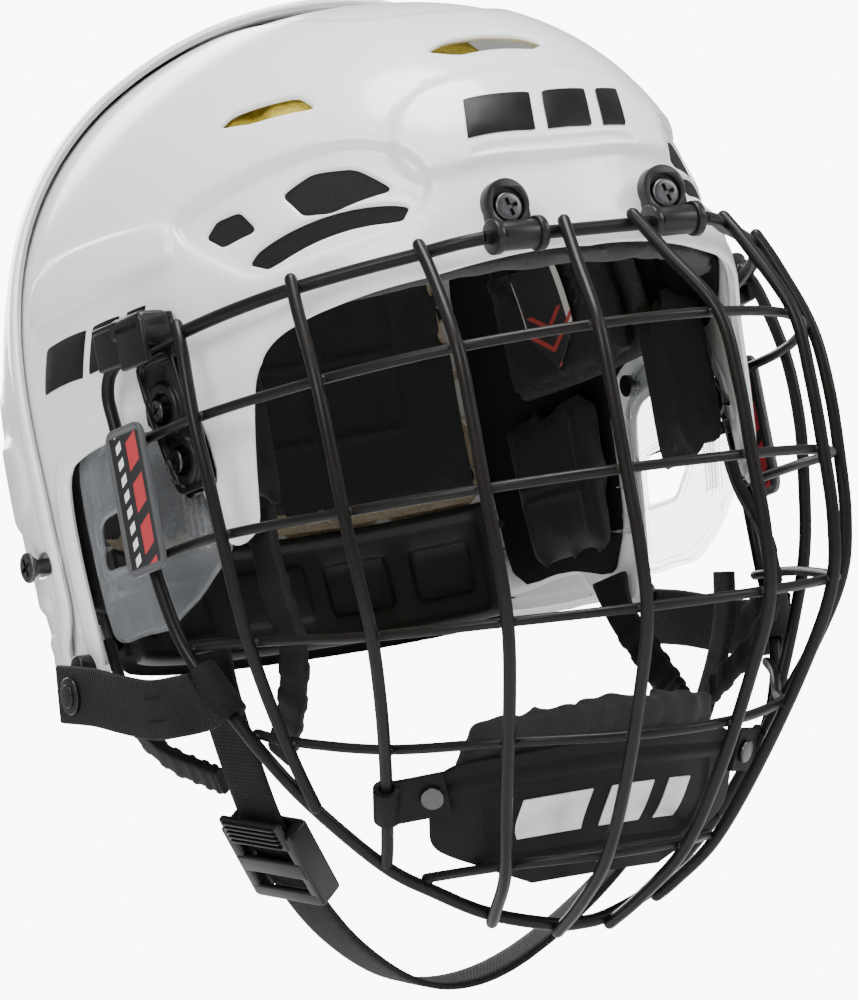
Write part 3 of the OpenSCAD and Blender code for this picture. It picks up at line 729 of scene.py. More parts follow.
def liner(name, loop, coat, slot, node, body="helmet", raises=()):
    made = skin(name, loop, [], raises, depth=foam_depth, wall=foam_wall, pitch=0.0042, edge=foam_edge,
                face=-1)
    settle(made, body, slot, coat, node)
    return made


liner("brow_liner_foam", pad_loop(-50, 50, 40, 58), buff_foam, "foam_beige", "brow_liner")
liner("upper_liner_foam", pad_loop(-86, 86, 59, 92), yellow_foam, "foam_beige", "upper_liner",
      raises=[(pad_loop(a, a + 22, 66, 86, 6, cut=0.25), -0.0030, 0.004) for a in (-74, -44, -11, 22, 52)])
crown_loop = rounded(from_top([[-42, -28], [-20, -30], [20, -30], [42, -28], [43, 20], [42, 62], [20, 66],
                               [-20, 66], [-42, 62], [-43, 20]]), 0.25, 2)
liner("crown_foam", crown_loop, yellow_foam, "foam_yellow", "crown_pad",
      raises=[(rounded(from_top([[x - 9, y - 12], [x + 9, y - 12], [x + 9, y + 12], [x - 9, y + 12]]), 0.25,
                       3), -0.003, 0.004)
              for x in (-24, 0, 24) for y in (-10, 18, 46)])


# Painted shade: the front lower end of each side foam block, beside the temple pad, is coloured near black.
def side_beads_painted_shade(where):
    coat = beads(*yellow)(where)
    front, low = where.axis(1).below(-0.0055), where.axis(2).below(0.0525)
    coat["Base_Color"] = (front * low).mix((0.016, 0.016, 0.017, 1), coat["Base_Color"])
    return coat


side_foam_painted_shade = finish("side_foam_painted_shade", side_beads_painted_shade)
for side, word in sides:
    liner("side_foam_" + word, pad_loop(side * 74, side * 112, 7, 57), side_foam_painted_shade, "foam_yellow",
          "side_liner_" + word)
liner("rear_foam", pad_loop(128, 232, -20, 92, 24), buff_foam, "foam_beige", "rear_liner",
      body="rear_half",
      raises=[(pad_loop(a, a + 15, z, z + 17, 6, cut=0.25), -0.003, 0.004)
              for a in (132, 152.5, 172.5, 192.5, 213) for z in (-14, 72)])


# Painted shade: a near-black colour for sheets that stand for the shade inside the shell.
def painted_shade_sheet(where):
    nap = where.noise(800.0, 3.0)
    return {"Base_Color": nap.mix((0.004, 0.004, 0.004, 1), (0.014, 0.014, 0.015, 1)),
            "Roughness": nap * 0.1 + 0.85}


# Painted shade: black sheets just under the shell behind the side vents stand for the shade seen through
# them.
shade_sheets = []
for side in (1, -1):
    shade_sheets.append(skin("painted_shade_sheet", side_loop([[-101, 31.5], [-60, 29.5], [-36, 43], [-38, 57.5], [-60, 60],
                                         [-90, 60]],
                                                side, 0.1, 2),
                      depth=-0.0033, wall=0.0008, edge=0.0003, pitch=0.005))
painted_shade_black = finish("painted_shade_black", painted_shade_sheet, Specular_IOR_Level=0.2)
settle(fuse("vent_shade_sheet", shade_sheets), "helmet", "pad_black", painted_shade_black)
# Painted shade: black sheets lining the side walls inside the shell stand for the shade between the foam
# blocks.
wall_shade_sheet = [[-66, 24], [-62, 57], [50, 60], [102, 60], [108, 10], [102, -54], [62, -57], [53, -40], [52, 4],
             [-24, 6],
             [-44, 12]]
for side, word in sides:
    sheet = skin("wall_felt_" + word, side_loop(wall_shade_sheet, side, 0.15, 2), depth=-0.0044, wall=0.0010,
                 edge=0.0003, pitch=0.005, face=-1)
    settle(sheet, "helmet", "pad_black", painted_shade_black)


def pad_cloth(where):
    knit = where.cells("F1", 1500.0)
    nap = where.noise(55.0, 4.0)
    return {
        "Base_Color": (knit * 0.5 + nap * 0.5).mix((0.004, 0.004, 0.0045, 1), (0.016, 0.016, 0.018, 1)),
        "Roughness": nap * 0.2 + 0.66,
        "Normal": knit.bump(0.3, 0.0004),
    }


black_pad = finish("black_pad", pad_cloth, Sheen_Weight=0.05, Specular_IOR_Level=0.25)


def apply_all(piece):
    pick(piece)
    for step in list(piece.modifiers):
        bpy.ops.object.modifier_apply(modifier=step.name)


def swollen(pad, grain, most, finer=1):
    """The closed pad is remeshed and blown up as cloth, no point moving further than most."""
    grid = pad.modifiers.new("grid", "REMESH")
    grid.mode, grid.voxel_size = "VOXEL", grain
    apply_all(pad)
    count = len(pad.data.vertices)
    start = np.empty(count * 3)
    pad.data.vertices.foreach_get("co", start)
    start = start.reshape(-1, 3)
    cover = pad.modifiers.new("cover", "CLOTH")
    cover.settings.quality = 4
    cover.settings.use_pressure = True
    cover.settings.uniform_pressure_force = 4.0
    cover.settings.effector_weights.gravity = 0
    for step in range(1, 21):
        bpy.context.scene.frame_set(step)
    blown = pad.evaluated_get(bpy.context.evaluated_depsgraph_get()).to_mesh()
    place = np.empty(count * 3)
    blown.vertices.foreach_get("co", place)
    move = place.reshape(-1, 3) - start
    pad.modifiers.remove(cover)
    bpy.context.scene.frame_set(1)
    size = np.linalg.norm(move, axis=1)[:, None]
    start = start + move * np.minimum(1, most / np.maximum(size, 1e-9))
    pad.data.vertices.foreach_set("co", start.ravel())
    fine = pad.modifiers.new("fine", "SUBSURF")
    fine.levels = fine.render_levels = finer
    apply_all(pad)
    return pad


def points_of(pad):
    """The pad's points, and the way that each one faces."""
    got = []
    for what in ("co", "normal"):
        flat = np.empty(len(pad.data.vertices) * 3)
        pad.data.vertices.foreach_get(what, flat)
        got.append(flat.reshape(-1, 3))
    return got


def welts(pad, lines, depth, height, width):
    """Raised ridges (or channels if height is negative) moulded along chart lines on the pad's inner face."""
    cloud = np.vstack([on_dome(spaced(line, depth, 0.0008), depth) for line in lines])
    place, way = points_of(pad)
    far = nearest_point(place, cloud)[1]
    place = place + way * (height * np.exp(-((far / width) ** 2)))[:, None]
    pad.data.vertices.foreach_set("co", place.ravel())
    pad.data.update()


def head_pad(name, loop, node, depth, wall, lines=(), coat=black_pad, slot="pad_black", body="helmet",
             grain=0.004, most=0.0016, finer=2):
    slack = most * 0.75
    pad = skin(name, loop, depth=depth + slack, wall=wall - 2 * slack, pitch=0.006, edge=0.0016, face=-1)
    swollen(pad, grain, most, finer)
    if lines:
        welts(pad, lines, depth, 0.0011, 0.0009)
    bpy.ops.object.shade_smooth()
    settle(pad, body, slot, coat, node)
    return pad


def honeycomb(az, z, step, rows, tall):
    """Outlines of small hexagons in a downward triangle, as chart loops."""
    cells = []
    for row in range(rows):
        for i in range(rows - row):
            middle = az + step * (i - (rows - row - 1) / 2)
            level = z - row * tall * 0.87
            corners = np.arange(6) * math.pi / 3
            cells.append(at_azimuth(middle + step * 0.46 * np.sin(corners),
                                    level + tall * 0.5 * np.cos(corners)))
    return cells


def wedge(az, z, half_az, drop):
    return at_azimuth([az - half_az, az, az + half_az], [z, z - drop, z])


head_pad("brow_cushion", pad_loop(-52, 52, 17, 28, 24), "brow_pad", -0.015, 0.0112, coat=grey_foam,
         slot="brow_grey", finer=1)
for side, word in sides:
    head_pad("temple_cushion_" + word, pad_loop(side * 56, side * 74.5, -34, 25, 6, cut=0.12),
             "temple_pad_" + word,
             -0.0205, 0.0139, coat=temple_foam, finer=1)
    lines = honeycomb(side * 92, 44, 4.2, 4, 5.6)
    lines += [wedge(side * 92, 51, 14.5, 36), wedge(side * 92, 54, 18.5, 46)]
    head_pad("side_cushion_" + word, pad_loop(side * 76.5, side * 111.4, 7.8, 56, 8), "side_pad_" + word,
             -0.021, 0.005, lines=lines, grain=0.002, most=0.0006, finer=1)
rear_lines = [patch(a, a + 19, z, z + 26, 6) for a in (138, 161, 180, 203) for z in (8, 39)]
rear_lines += honeycomb(170.5, 58, 3.2, 3, 5.0) + honeycomb(189.5, 58, 3.2, 3, 5.0)
head_pad("rear_cushion", pad_loop(124.8, 235.2, -19, 85, 22, cut=0.15), "rear_pad", -0.021, 0.0118,
         lines=rear_lines,
         body="rear_half", grain=0.0026, most=0.0008, finer=1)
for side, word in sides:
    lines = [patch(side * 98, side * 115, z, z + 20, 5) for z in (-46, -22)]
    head_pad("ear_cushion_" + word, pad_loop(side * 94, side * 119, -49, 5, 8), "ear_liner_" + word,
             -0.015, 0.0102, lines=lines, finer=2)

# ---- Nape cradle and lining label ----
# A black moulded saddle under the back of the head, with a raised frame and open slots, on the
# rear half. A woven shield label with plain chevrons is glued inside, on the wearer's left.


def moulded(tone, rough, grain=900.0, depth=0.00015):
    def plastic(where):
        speck = where.noise(grain, 2.0)
        cloud = where.noise(30.0, 3.0)
        low, high = tone * 0.75, tone * 1.35
        return {
            "Base_Color": cloud.mix((low, low, low * 1.05, 1), (high, high, high * 1.06, 1)),
            "Roughness": cloud * 0.14 + rough,
            "Normal": speck.bump(0.25, depth),
        }

    return plastic


black_plastic = finish("black_plastic", moulded(0.009, 0.45), Specular_IOR_Level=0.3)
cradle_fields = [(pad_loop(a, a + 15, -50, -33, 6), -0.0022, 0.002) for a in (130, 151, 194, 215)]
cradle_fields += [(pad_loop(126, 234, -56.5, -26, 26), -0.0016, 0.003),
                  (pad_loop(171, 189, -50, -32, 8), 0.0016, 0.003)]
cradle = skin("nape_saddle", pad_loop(122, 238, -60, -22, 26), [], cradle_fields, depth=-0.023, wall=0.008,
              pitch=0.0036, edge=0.0025, face=-1)
settle(cradle, "rear_half", "plastic_black", black_plastic, "nape_cradle")


def label_weave(where):
    rise = where.axis(2)
    along = where.axis(1)
    across = (along - 0.044).size()
    slant = rise - across * 0.6
    shield = where.sum("MAXIMUM", across.above(0.0118), rise.above(0.0505))
    band = slant.wave(0.0035).clamp(0.0024, 0.0028)
    low = rise.below(0.030)
    field = shield.mix((0.012, 0.012, 0.013, 1), (0.52, 0.51, 0.48, 1))
    striped = (band * low).mix(field, (0.34, 0.035, 0.03, 1))
    thread = where.noise(1400.0, 1.0)
    return {"Base_Color": striped, "Roughness": thread * 0.2 + 0.6,
            "Normal": thread.bump(0.2, 0.0002)}


label = skin("lining_label", side_loop([[27, 54], [61, 54], [61, 27], [44, 11], [27, 27]], 1, 0.1, 2),
             depth=-0.0242, wall=0.0006, edge=0.0003, pitch=0.004, face=-1)
settle(label, "helmet", "badge_grey", finish("label_cloth", label_weave))

# ---- Ear guards ----
# Clear moulded guards under the shell's side edge. Each has a double bevelled rim, a five-sided
# window and upright reeding, and is held by two screws from inside.


def clear_sheet(where):
    haze = where.noise(60.0, 3.0)
    return {"Roughness": haze * 0.04 + 0.015}


clear_plastic = finish("clear_plastic", clear_sheet, Base_Color=(0.27, 0.28, 0.29, 1), IOR=1.45,
                       Alpha=0.30, Specular_IOR_Level=0.5)
guard_edge = [[-26, 4.5], [-26.5, -12], [-33, -43], [-12, -54], [8, -60.5], [37, -59.5], [43.5, -55.5],
              [40.5, 4.5]]
guard_inset = [[-20, -2], [-22.5, -14], [-28, -40.5], [-11, -49.5], [9, -55.5], [34, -55], [38.5, -52],
               [36, -2]]
guard_window = [[34, -22.5], [7, -21.5], [4, -28], [17, -37.5], [37, -37]]
window_rim = [[38, -19], [5, -18], [-0.5, -28], [15.5, -41], [41, -40.5]]
reeds = [[[-15 - 3 * i, -14], [-13.6 - 3 * i, -14], [-9.6 - 3 * i, -42], [-11 - 3 * i, -42]]
         for i in range(4)]
for side, word in sides:
    guard = skin(
        "ear_window_guard_" + word, side_loop(guard_edge, side, 0.15, 3),
        [side_loop(guard_window, side, 0.12, 2), from_side(ring(-6, 1.5, 2, 2), side),
         from_side(ring(32, 1.5, 2, 2), side)],
        [(side_loop(guard_inset, side, 0.15, 3), -0.0012, 0.0018),
         (side_loop(window_rim, side, 0.12, 3), 0.0012, 0.0016)]
        + [(side_loop(reed, side, 0.1, 1), 0.0007, 0.0010) for reed in reeds],
        depth=-0.0036, wall=0.0019, edge=0.0007, pitch=0.003,
    )
    settle(guard, "helmet", "ear_clear", clear_plastic, "ear_guard_" + word)

# ---- Brow clips ----
# Two black moulded clips on the brow: each has a round-topped tab with a sunk cross-head screw
# and a barrel with end collars, in which the cage's brow bar turns.


def gloss_black(where):
    smear = where.noise(70.0, 4.0)
    grain = where.noise(1600.0, 1.0)
    return {"Base_Color": smear.mix((0.003, 0.003, 0.0033, 1), (0.009, 0.009, 0.0095, 1)),
            "Roughness": smear * 0.2 + 0.24,
            "Normal": grain.bump(0.15, 0.0001)}


clip_plastic = finish("clip_plastic", gloss_black, Specular_IOR_Level=0.3)


def plated(tone):
    def metal(where):
        scratch = where.noise(900.0, 3.0)
        return {"Base_Color": scratch.mix((tone * 0.7, tone * 0.7, tone * 0.72, 1),
                                          (tone, tone, tone * 1.02, 1)),
                "Roughness": scratch * 0.25 + 0.22}

    return metal


dark_screw = finish("dark_screw", plated(0.10), Metallic=1.0)


def rim_round(piece, width, segments=3, angle=32):
    edge = piece.modifiers.new("rim", "BEVEL")
    edge.width, edge.segments, edge.limit_method = width, segments, "ANGLE"
    edge.angle_limit = math.radians(angle)
    edge.use_clamp_overlap = True
    apply_all(piece)
    creased(30)
    return piece


def facing_way(place, way):
    """The move that stands a piece on place, its own Z along way."""
    return Matrix.Translation(Vector(place)) @ Vector(way).to_track_quat("Z", "Y").to_matrix().to_4x4()


def drum(place, way, radius, length, sides=48, bevel=0.0004):
    """A round bar from place along way."""
    way = Vector(way).normalized()
    bpy.ops.object.select_all(action="DESELECT")
    bpy.ops.mesh.primitive_cylinder_add(vertices=sides, radius=radius, depth=length,
                                        location=Vector(place) + way * length / 2,
                                        rotation=way.to_track_quat("Z", "Y").to_euler())
    made = bpy.context.object
    bpy.ops.object.transform_apply()
    return rim_round(made, bevel) if bevel else made


def brick(low, high, bevel=0.0006, frame=None, segments=3):
    """A block between two corners, in a local frame."""
    low, high = Vector(low), Vector(high)
    bpy.ops.object.select_all(action="DESELECT")
    bpy.ops.mesh.primitive_cube_add(size=1, location=(low + high) / 2)
    made = bpy.context.object
    made.scale = high - low
    bpy.ops.object.transform_apply()
    if bevel:
        rim_round(made, bevel, segments)
    if frame is not None:
        made.data.transform(frame)
    return made


def carve(piece, tool, how="DIFFERENCE"):
    cut = piece.modifiers.new("cut", "BOOLEAN")
    cut.operation, cut.object, cut.solver = how, tool, "EXACT"
    apply_all(piece)
    bpy.data.objects.remove(tool)
    return piece


def cross_screw(place, way, radius, height, shank, shank_radius=0.0019):
    """A pan-head screw with a cross recess, its head standing on place and facing along way."""
    head = drum((0, 0, 0), (0, 0, 1), radius, height, 40, height * 0.45)
    for turn in (0, math.pi / 2):
        slot = brick((-radius * 0.62, -radius * 0.14, height * 0.35),
                     (radius * 0.62, radius * 0.14, height * 2), 0,
                     Matrix.Rotation(turn + 0.3, 4, "Z"))
        carve(head, slot)
    creased(30)
    stem = drum((0, 0, -shank), (0, 0, 1), shank_radius, shank + height * 0.1, 24, 0)
    screw = fuse("screw", [head, stem])
    screw.data.transform(facing_way(place, way))
    return screw


hinge_y, hinge_z, clip_x, clip_screw_z = -0.118, 0.025, 0.0265, 0.0335
screws = []
for side, word in sides:
    x = side * clip_x
    tab = drum((x, hinge_y + 0.0052, clip_screw_z + 0.0015), (0, -1, 0), 0.007, 0.0042, 64, 0)
    carve(tab, brick((x - 0.0066, hinge_y + 0.001, hinge_z),
                     (x + 0.0066, hinge_y + 0.0052, clip_screw_z + 0.0015), 0), "UNION")
    rim_round(tab, 0.0007)
    carve(tab, drum((x, hinge_y - 0.002, clip_screw_z + 0.0006), (0, 1, 0), 0.0052, 0.0045, 48, 0))
    rim_round(tab, 0.0003, 2, 50)
    parts = [tab]
    for shift, radius, long, soft in ((-0.0062, 0.0043, 0.0124, 0.0001), (-0.0085, 0.0052, 0.0025, 0.0005),
                                      (0.0060, 0.0052, 0.0025, 0.0005)):
        barrel = drum((x + shift, hinge_y, hinge_z), (1, 0, 0), radius, long, 48, soft)
        parts.append(carve(barrel, drum((x - 0.02, hinge_y, hinge_z), (1, 0, 0), 0.00212, 0.04, 32, 0)))
    parts.append(brick((x - 0.0056, hinge_y - 0.0047, hinge_z - 0.0012),
                       (x + 0.0056, hinge_y - 0.0037, hinge_z + 0.0012), 0.0003))
    whole = fuse("brow_clip_body_" + word, parts)
    creased(30)
    settle(whole, "helmet", "clip_black", clip_plastic, "brow_clip_" + word)
    screws.append(cross_screw(Vector((x, hinge_y + 0.0024, clip_screw_z)), (0, -1, 0), 0.0044, 0.0018,
                              0.0174))
settle(fuse("brow_screws", screws), "helmet", "screw_dark", dark_screw, "brow_clip_screws")

# ---- Side clips ----
# A black moulded channel screwed to each side of the shell, its raised edges and two screw
# pockets moulded in. Its hooded head reaches over the cage's frame wire, with a flap behind.
side_screw_at = [[-21, 1], [-25, -15]]
channel = [[-28.2, 19], [-11.6, 16.2], [-14.5, 0], [-17.5, -14], [-20.5, -25], [-35, -24.5], [-34.5, -12],
           [-31, 2]]
channel_floor = [[-26.2, 17], [-13.8, 15], [-16.5, 0], [-19.5, -14], [-22.3, -23], [-33, -22.5], [-32.3, -12],
                 [-29, 2]]
clip_blocks = [
    [(-0.2, -8.5, 22.2), (11.4, 8.5, 29.8), 2.6, 4],  # hood
    [(-1.2, -8.5, 15), (1.8, 8.5, 29), 0.8, 3],  # back
    [(9.2, -8.5, 14), (11.4, 5, 27), 0.7, 3],  # cover
    [(8.8, 3, 16), (10.8, 17, 28.8), 0.9, 3],  # flap
    [(8.4, 3.5, 27), (11.4, 16.5, 29), 0.8, 3],  # lip
    [(0, -8.5, 19), (10.6, -6.9, 28), 0.5, 3], [(0, 6.9, 19), (10.6, 8.5, 28), 0.5, 3],  # cheeks
]
screws = []
for side, word in sides:
    pockets = []
    for (y, z), grow in ((side_screw_at[0], 1.0), (side_screw_at[1], 0.92)):
        pockets += [(from_side(ring(y, z, 6.4 * grow, 8.2 * grow, 28), side), 0.0014, 0.0014),
                    (from_side(ring(y, z, 4.4 * grow, 4.8 * grow, 28), side), -0.0019, 0.0010)]
    plate = skin("channel", side_loop(channel, side, 0.12, 2),
                 [from_side(ring(y, z, 2, 2, 16), side) for y, z in side_screw_at],
                 [(side_loop(channel_floor, side, 0.1, 2), -0.0013, 0.0010)] + pockets,
                 depth=0.0034, wall=0.0030, edge=0.0006, pitch=0.002)
    base = Vector(on_dome(from_side([[-22, 0]], 1), 0.0009)[0])
    frame_at = Matrix.Translation(base) @ Matrix.Rotation(math.radians(-10), 4, "Z")
    if side < 0:
        frame_at = Matrix.Diagonal((-1, 1, 1, 1)) @ frame_at
    blocks = [brick(Vector(low) * mm, Vector(high) * mm, soft * mm, frame_at, cuts)
              for low, high, soft, cuts in clip_blocks]
    if side < 0:
        for block in blocks:
            block.data.flip_normals()
    settle(fuse("side_clip_body_" + word, [plate, *blocks]), "helmet", "clip_black",
           clip_plastic, "side_clip_" + word)
    for y, z in side_screw_at:
        top = Vector(on_dome(from_side([[y, z]], side), 0.0)[0]) + Vector((side * 0.0034, 0, 0))
        screws.append(cross_screw(top, (side, 0, 0), 0.0034, 0.0012, 0.0090))
settle(fuse("side_screws", screws), "helmet", "screw_dark", dark_screw, "side_clip_screws")
nut_metal = finish("nut_metal", plated(0.5), Metallic=1.0)
for node, coat in (("clip_nuts", nut_metal), ("ear_guard_screws", dark_screw)):
    frame["nodes"][node].data.materials.clear()
    frame["nodes"][node].data.materials.append(coat)

# ---- Size screws ----
# One dark cross-head screw on each side holds the rear half where it is set. It stands in a
# slot of the rear half and is screwed into the front half.
screw_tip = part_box("size_screws")[1][0]
screw_y, screw_z = 0.072, -0.028
knobs = []
for side in (1, -1):
    tip = side * screw_tip
    knob = cross_screw(Vector((tip - side * 0.0018, screw_y, screw_z)), (side, 0, 0), 0.0048, 0.0016, 0.012,
                       0.0023)
    skirt = drum((tip - side * 0.0034, screw_y, screw_z), (side, 0, 0), 0.0031, 0.0017, 40, 0.0003)
    knobs += [knob, skirt]
settle(fuse("size_knobs", knobs), "helmet", "screw_dark", dark_screw, "size_screws")

# ---- Cage wires ----
# Round steel wires, bent and spot welded: a frame wire, a brow bar, eight uprights outside and
# five cross wires inside, all under one satin black powder coat.


def powder_coat(where):
    tone = where.noise(24.0, 4.0)
    grain = where.noise(2200.0, 2.0)
    drawn = where.noise(260.0, 3.0)
    return {"Base_Color": (tone * 0.6 + drawn * 0.4).mix((0.0035, 0.003, 0.0027, 1),
                                                         (0.012, 0.010, 0.0085, 1)),
            "Roughness": tone * 0.18 + 0.26,
            "Normal": grain.bump(0.22, 0.00012)}


wire_coat = finish("wire_coat", powder_coat, Specular_IOR_Level=0.17)


def through(points, steps):
    """A smooth line through the points, steps to each span."""
    p = np.array(points, float)
    p = np.vstack((p[:1], p, p[-1:]))
    t = np.arange(steps)[:, None] / steps
    line = []
    for a, b, c, d in zip(p[:-3], p[1:-2], p[2:-1], p[3:]):
        line.append(b + (c - a) * t / 2 + (2 * a - 5 * b + 4 * c - d) * t * t / 2 + (3 * b - a - 3 * c + d)
                    * t**3 / 2)
    return np.vstack((*line, p[-1:]))


def rod(name, line, radius, tips=True):
    """A round wire along the line (in mm), its two ends rounded off."""
    line = np.array(line) * mm
    sizes = np.ones(len(line))
    if tips:
        ends = []
        for here, inner in ((line[0], line[1]), (line[-1], line[-2])):
            way = (here - inner) / np.linalg.norm(here - inner)
            ends.append([here + way * radius * math.sin(a) for a in (0.5, 0.9, 1.2, 1.4, 1.55)])
        line = np.vstack((ends[0][::-1], line, ends[1]))
        cap = [math.cos(a) for a in (0.5, 0.9, 1.2, 1.4, 1.55)]
        sizes = np.concatenate((cap[::-1], sizes, cap))
    bpy.ops.object.select_all(action="DESELECT")
    bpy.ops.curve.primitive_nurbs_path_add(location=(0, 0, 0))
    wire = bpy.context.object
    wire.data.splines.clear()
    spline = wire.data.splines.new("POLY")
    spline.points.add(len(line) - 1)
    spline.points.foreach_set("co", np.column_stack((line, np.ones(len(line)))).ravel())
    for point, size in zip(spline.points, sizes):
        point.radius = size
    wire.data.bevel_depth = radius
    wire.data.bevel_resolution = 5
    wire.data.use_fill_caps = True
    bpy.ops.object.convert(target="MESH")
    bpy.ops.object.shade_smooth()
    wire = bpy.context.object
    wire.name = wire.data.name = name
    return wire


def bead(place, way, radius, long):
    """A small weld bead where two wires cross, longer along way."""
    bpy.ops.object.select_all(action="DESELECT")
    bpy.ops.mesh.primitive_uv_sphere_add(segments=14, ring_count=8, radius=radius, location=(0, 0, 0))
    made = bpy.context.object
    made.data.transform(facing_way(place, way) @ Matrix.Diagonal((1, 1, long / radius, 1)))
    bpy.ops.object.shade_smooth()
    return made


frame_r, upright_r, cross_r = 0.0020, 0.0019, 0.0015
frame_half = [[37, -118, 25], [44, -113, 24.9], [52, -104, 24.6], [66, -91, 24], [80, -76, 23],
              [91, -58, 21.5],
              [98, -39, 20], [102.5, -20, 19], [104.6, -8, 17.5], [105, -2, 11], [105, -3, 0],
              [104.8, -6, -20],
              [104, -9, -42], [101.5, -13, -66], [97, -21, -84], [89, -28, -104], [78, -31, -121],
              [58, -30, -141],
              [44, -32, -151], [29, -35, -160], [10, -37, -166], [0, -37, -167]]
mirrored = np.array([-1, 1, 1])
half = np.array(frame_half, float)
loop = through(np.vstack((half, half[-2::-1] * mirrored)), 6)
settle(rod("frame_rod", loop, frame_r, tips=False), "cage", "cage_wire", wire_coat, "frame_wire")
brow = np.column_stack((np.linspace(-37.5, 37.5, 9), np.full(9, -118), np.full(9, 25)))
settle(rod("brow_rod", brow, frame_r, tips=False), "cage", "cage_wire", wire_coat, "brow_bar")
upright_half = [
    [[98.2, -40, 22.6], [100, -44, 14], [102.3, -48, -6], [102, -49.5, -25], [100.6, -48.5, -42],
     [97.5, -45.5, -66], [92, -41, -86], [84, -36, -108], [78.5, -33.6, -121.5]],
    [[79.7, -79, 25.6], [82, -84, 14], [84.5, -91.5, -6], [85, -93.5, -25], [84.5, -93, -44], [83, -92, -64],
     [80, -88, -81], [74, -75, -99], [67, -58, -116], [60.5, -40, -133.5], [58, -32, -140.5]],
    [[51.7, -106, 27], [53.5, -114, 15], [56.5, -125, -6], [57, -126.5, -26], [57, -126, -47],
     [56.3, -125, -68],
     [54.5, -120, -87], [50, -105, -107], [43, -81, -132], [36, -61, -150.5], [31, -43, -159.5],
     [28.6, -35, -162.6]],
    [[11.6, -120.6, 27.4], [15, -129, 14], [20, -142, -6.4], [21, -144, -27], [21, -143.5, -48],
     [21, -143, -70],
     [20.5, -139, -90], [18.5, -124, -110], [16, -103, -133], [13.5, -80, -152.5], [10.8, -56, -163],
     [9, -38, -168.6]],
]
for number in range(1, 9):
    right = number <= 4
    line = through(upright_half[number - 1 if right else 8 - number], 6) * (mirrored if right else 1)
    settle(rod(f"upright_rod_{number}", line, upright_r), "cage", "cage_wire", wire_coat, f"upright_{number}")
cross_half = [
    [[104.9, -4, -6], [102.3, -48, -6], [84.5, -91.5, -6], [56.5, -125, -6.2], [20, -142, -6.4]],
    [[104, -9, -40], [100.7, -48.5, -41], [84.5, -93, -44.5], [57, -126, -47], [21, -143.5, -48.3]],
    [[101, -14, -69], [96, -44.5, -72.5], [80.3, -88.5, -80], [55, -121.5, -84.5], [20.6, -140, -87.3]],
    [[91.5, -26, -98], [86, -37.5, -103], [69, -63, -111.5], [47.5, -96, -117], [17.4, -114.5, -121.6]],
    [[47, -32, -149], [36, -61, -150.6], [13.5, -80, -152.7]],
]
cross_in = 2.8
for number, crossings in enumerate(cross_half, 1):
    at = np.array(crossings, float)
    way = np.column_stack((at[:, 0], at[:, 1] + 15, at[:, 2] + 70 if number > 3 else at[:, 2] * 0))
    way /= np.linalg.norm(way, axis=1)[:, None]
    inner = at - cross_in * way
    line = through(np.vstack((inner, inner[::-1] * mirrored)), 8)
    parts = [rod("cross", line, cross_r)]
    for spot, out, tangent in zip(at - way * 1.55, way, np.gradient(inner, axis=0)):
        for flip in (1, -1):
            turn = np.array([flip, 1, 1])
            parts.append(bead(spot * turn * mm, tangent * turn, 0.00125, 0.0030))
    settle(fuse(f"cross_rod_{number}", parts), "cage", "cage_wire", wire_coat, f"cross_wire_{number}")

# ---- Badge plates ----
# A soft dark plate with a clear welted edge is clipped to the frame wire over each ear, printed
# with plain red bars and white ticks.


def badge_print(where):
    along = where.axis(1) + 0.013
    rise = where.axis(2) + 0.023
    grain = where.noise(900.0, 2.0)
    face = along.size().below(0.0088) * rise.size().below(0.0196)
    slant = rise + along * 0.45
    red_bar = slant.wave(0.0062).below(0.0043) * (along + 0.0036).size().below(0.0032) * face
    white_bar = (slant + 0.001).wave(0.0024).below(0.0013) * (along - 0.0042).size().below(0.0016) * face
    colour = face.mix((0.070, 0.072, 0.075, 1), (0.010, 0.010, 0.011, 1))
    colour = red_bar.mix(colour, (0.42, 0.03, 0.035, 1))
    colour = white_bar.mix(colour, (0.78, 0.78, 0.78, 1))
    return {"Base_Color": colour, "Roughness": grain * 0.1 + 0.32,
            "Normal": grain.bump(0.1, 0.0001)}


badge_coat = finish("badge_coat", badge_print, Specular_IOR_Level=0.35)
for side, word in sides:
    bpy.ops.object.select_all(action="DESELECT")
    bpy.ops.mesh.primitive_cube_add(size=1)
    badge = bpy.context.object
    badge.scale = (0.0016, 0.022, 0.044)
    bpy.ops.object.transform_apply(location=False, rotation=False, scale=True)
    mesh = bmesh.new()
    mesh.from_mesh(badge.data)
    corners = [e for e in mesh.edges if abs(e.verts[0].co.y - e.verts[1].co.y) < 1e-6
               and abs(e.verts[0].co.z - e.verts[1].co.z) < 1e-6]
    bmesh.ops.bevel(mesh, geom=corners, offset=0.0045, segments=8, affect="EDGES", profile=0.5)
    outer = [f for f in mesh.faces if f.normal.x * side > 0.9]
    bmesh.ops.inset_region(mesh, faces=outer, thickness=0.0013, use_even_offset=True)
    inner = [f for f in mesh.faces if f.normal.x * side > 0.9 and f.calc_area() > 0.0004]
    bmesh.ops.inset_region(mesh, faces=inner, thickness=0.0004, depth=-0.0005, use_even_offset=True)
    mesh.to_mesh(badge.data)
    mesh.free()
    badge.data.transform(Matrix.Translation((side * 0.1077, -0.013,
                                             -0.023)) @ Matrix.Rotation(math.radians(-3 * side), 4, "Z"))
    rim_round(badge, 0.0003, 2, 40)
    settle(fuse("badge_" + word, [badge]), "cage", "badge_grey", badge_coat, "badge_plate_" + word)

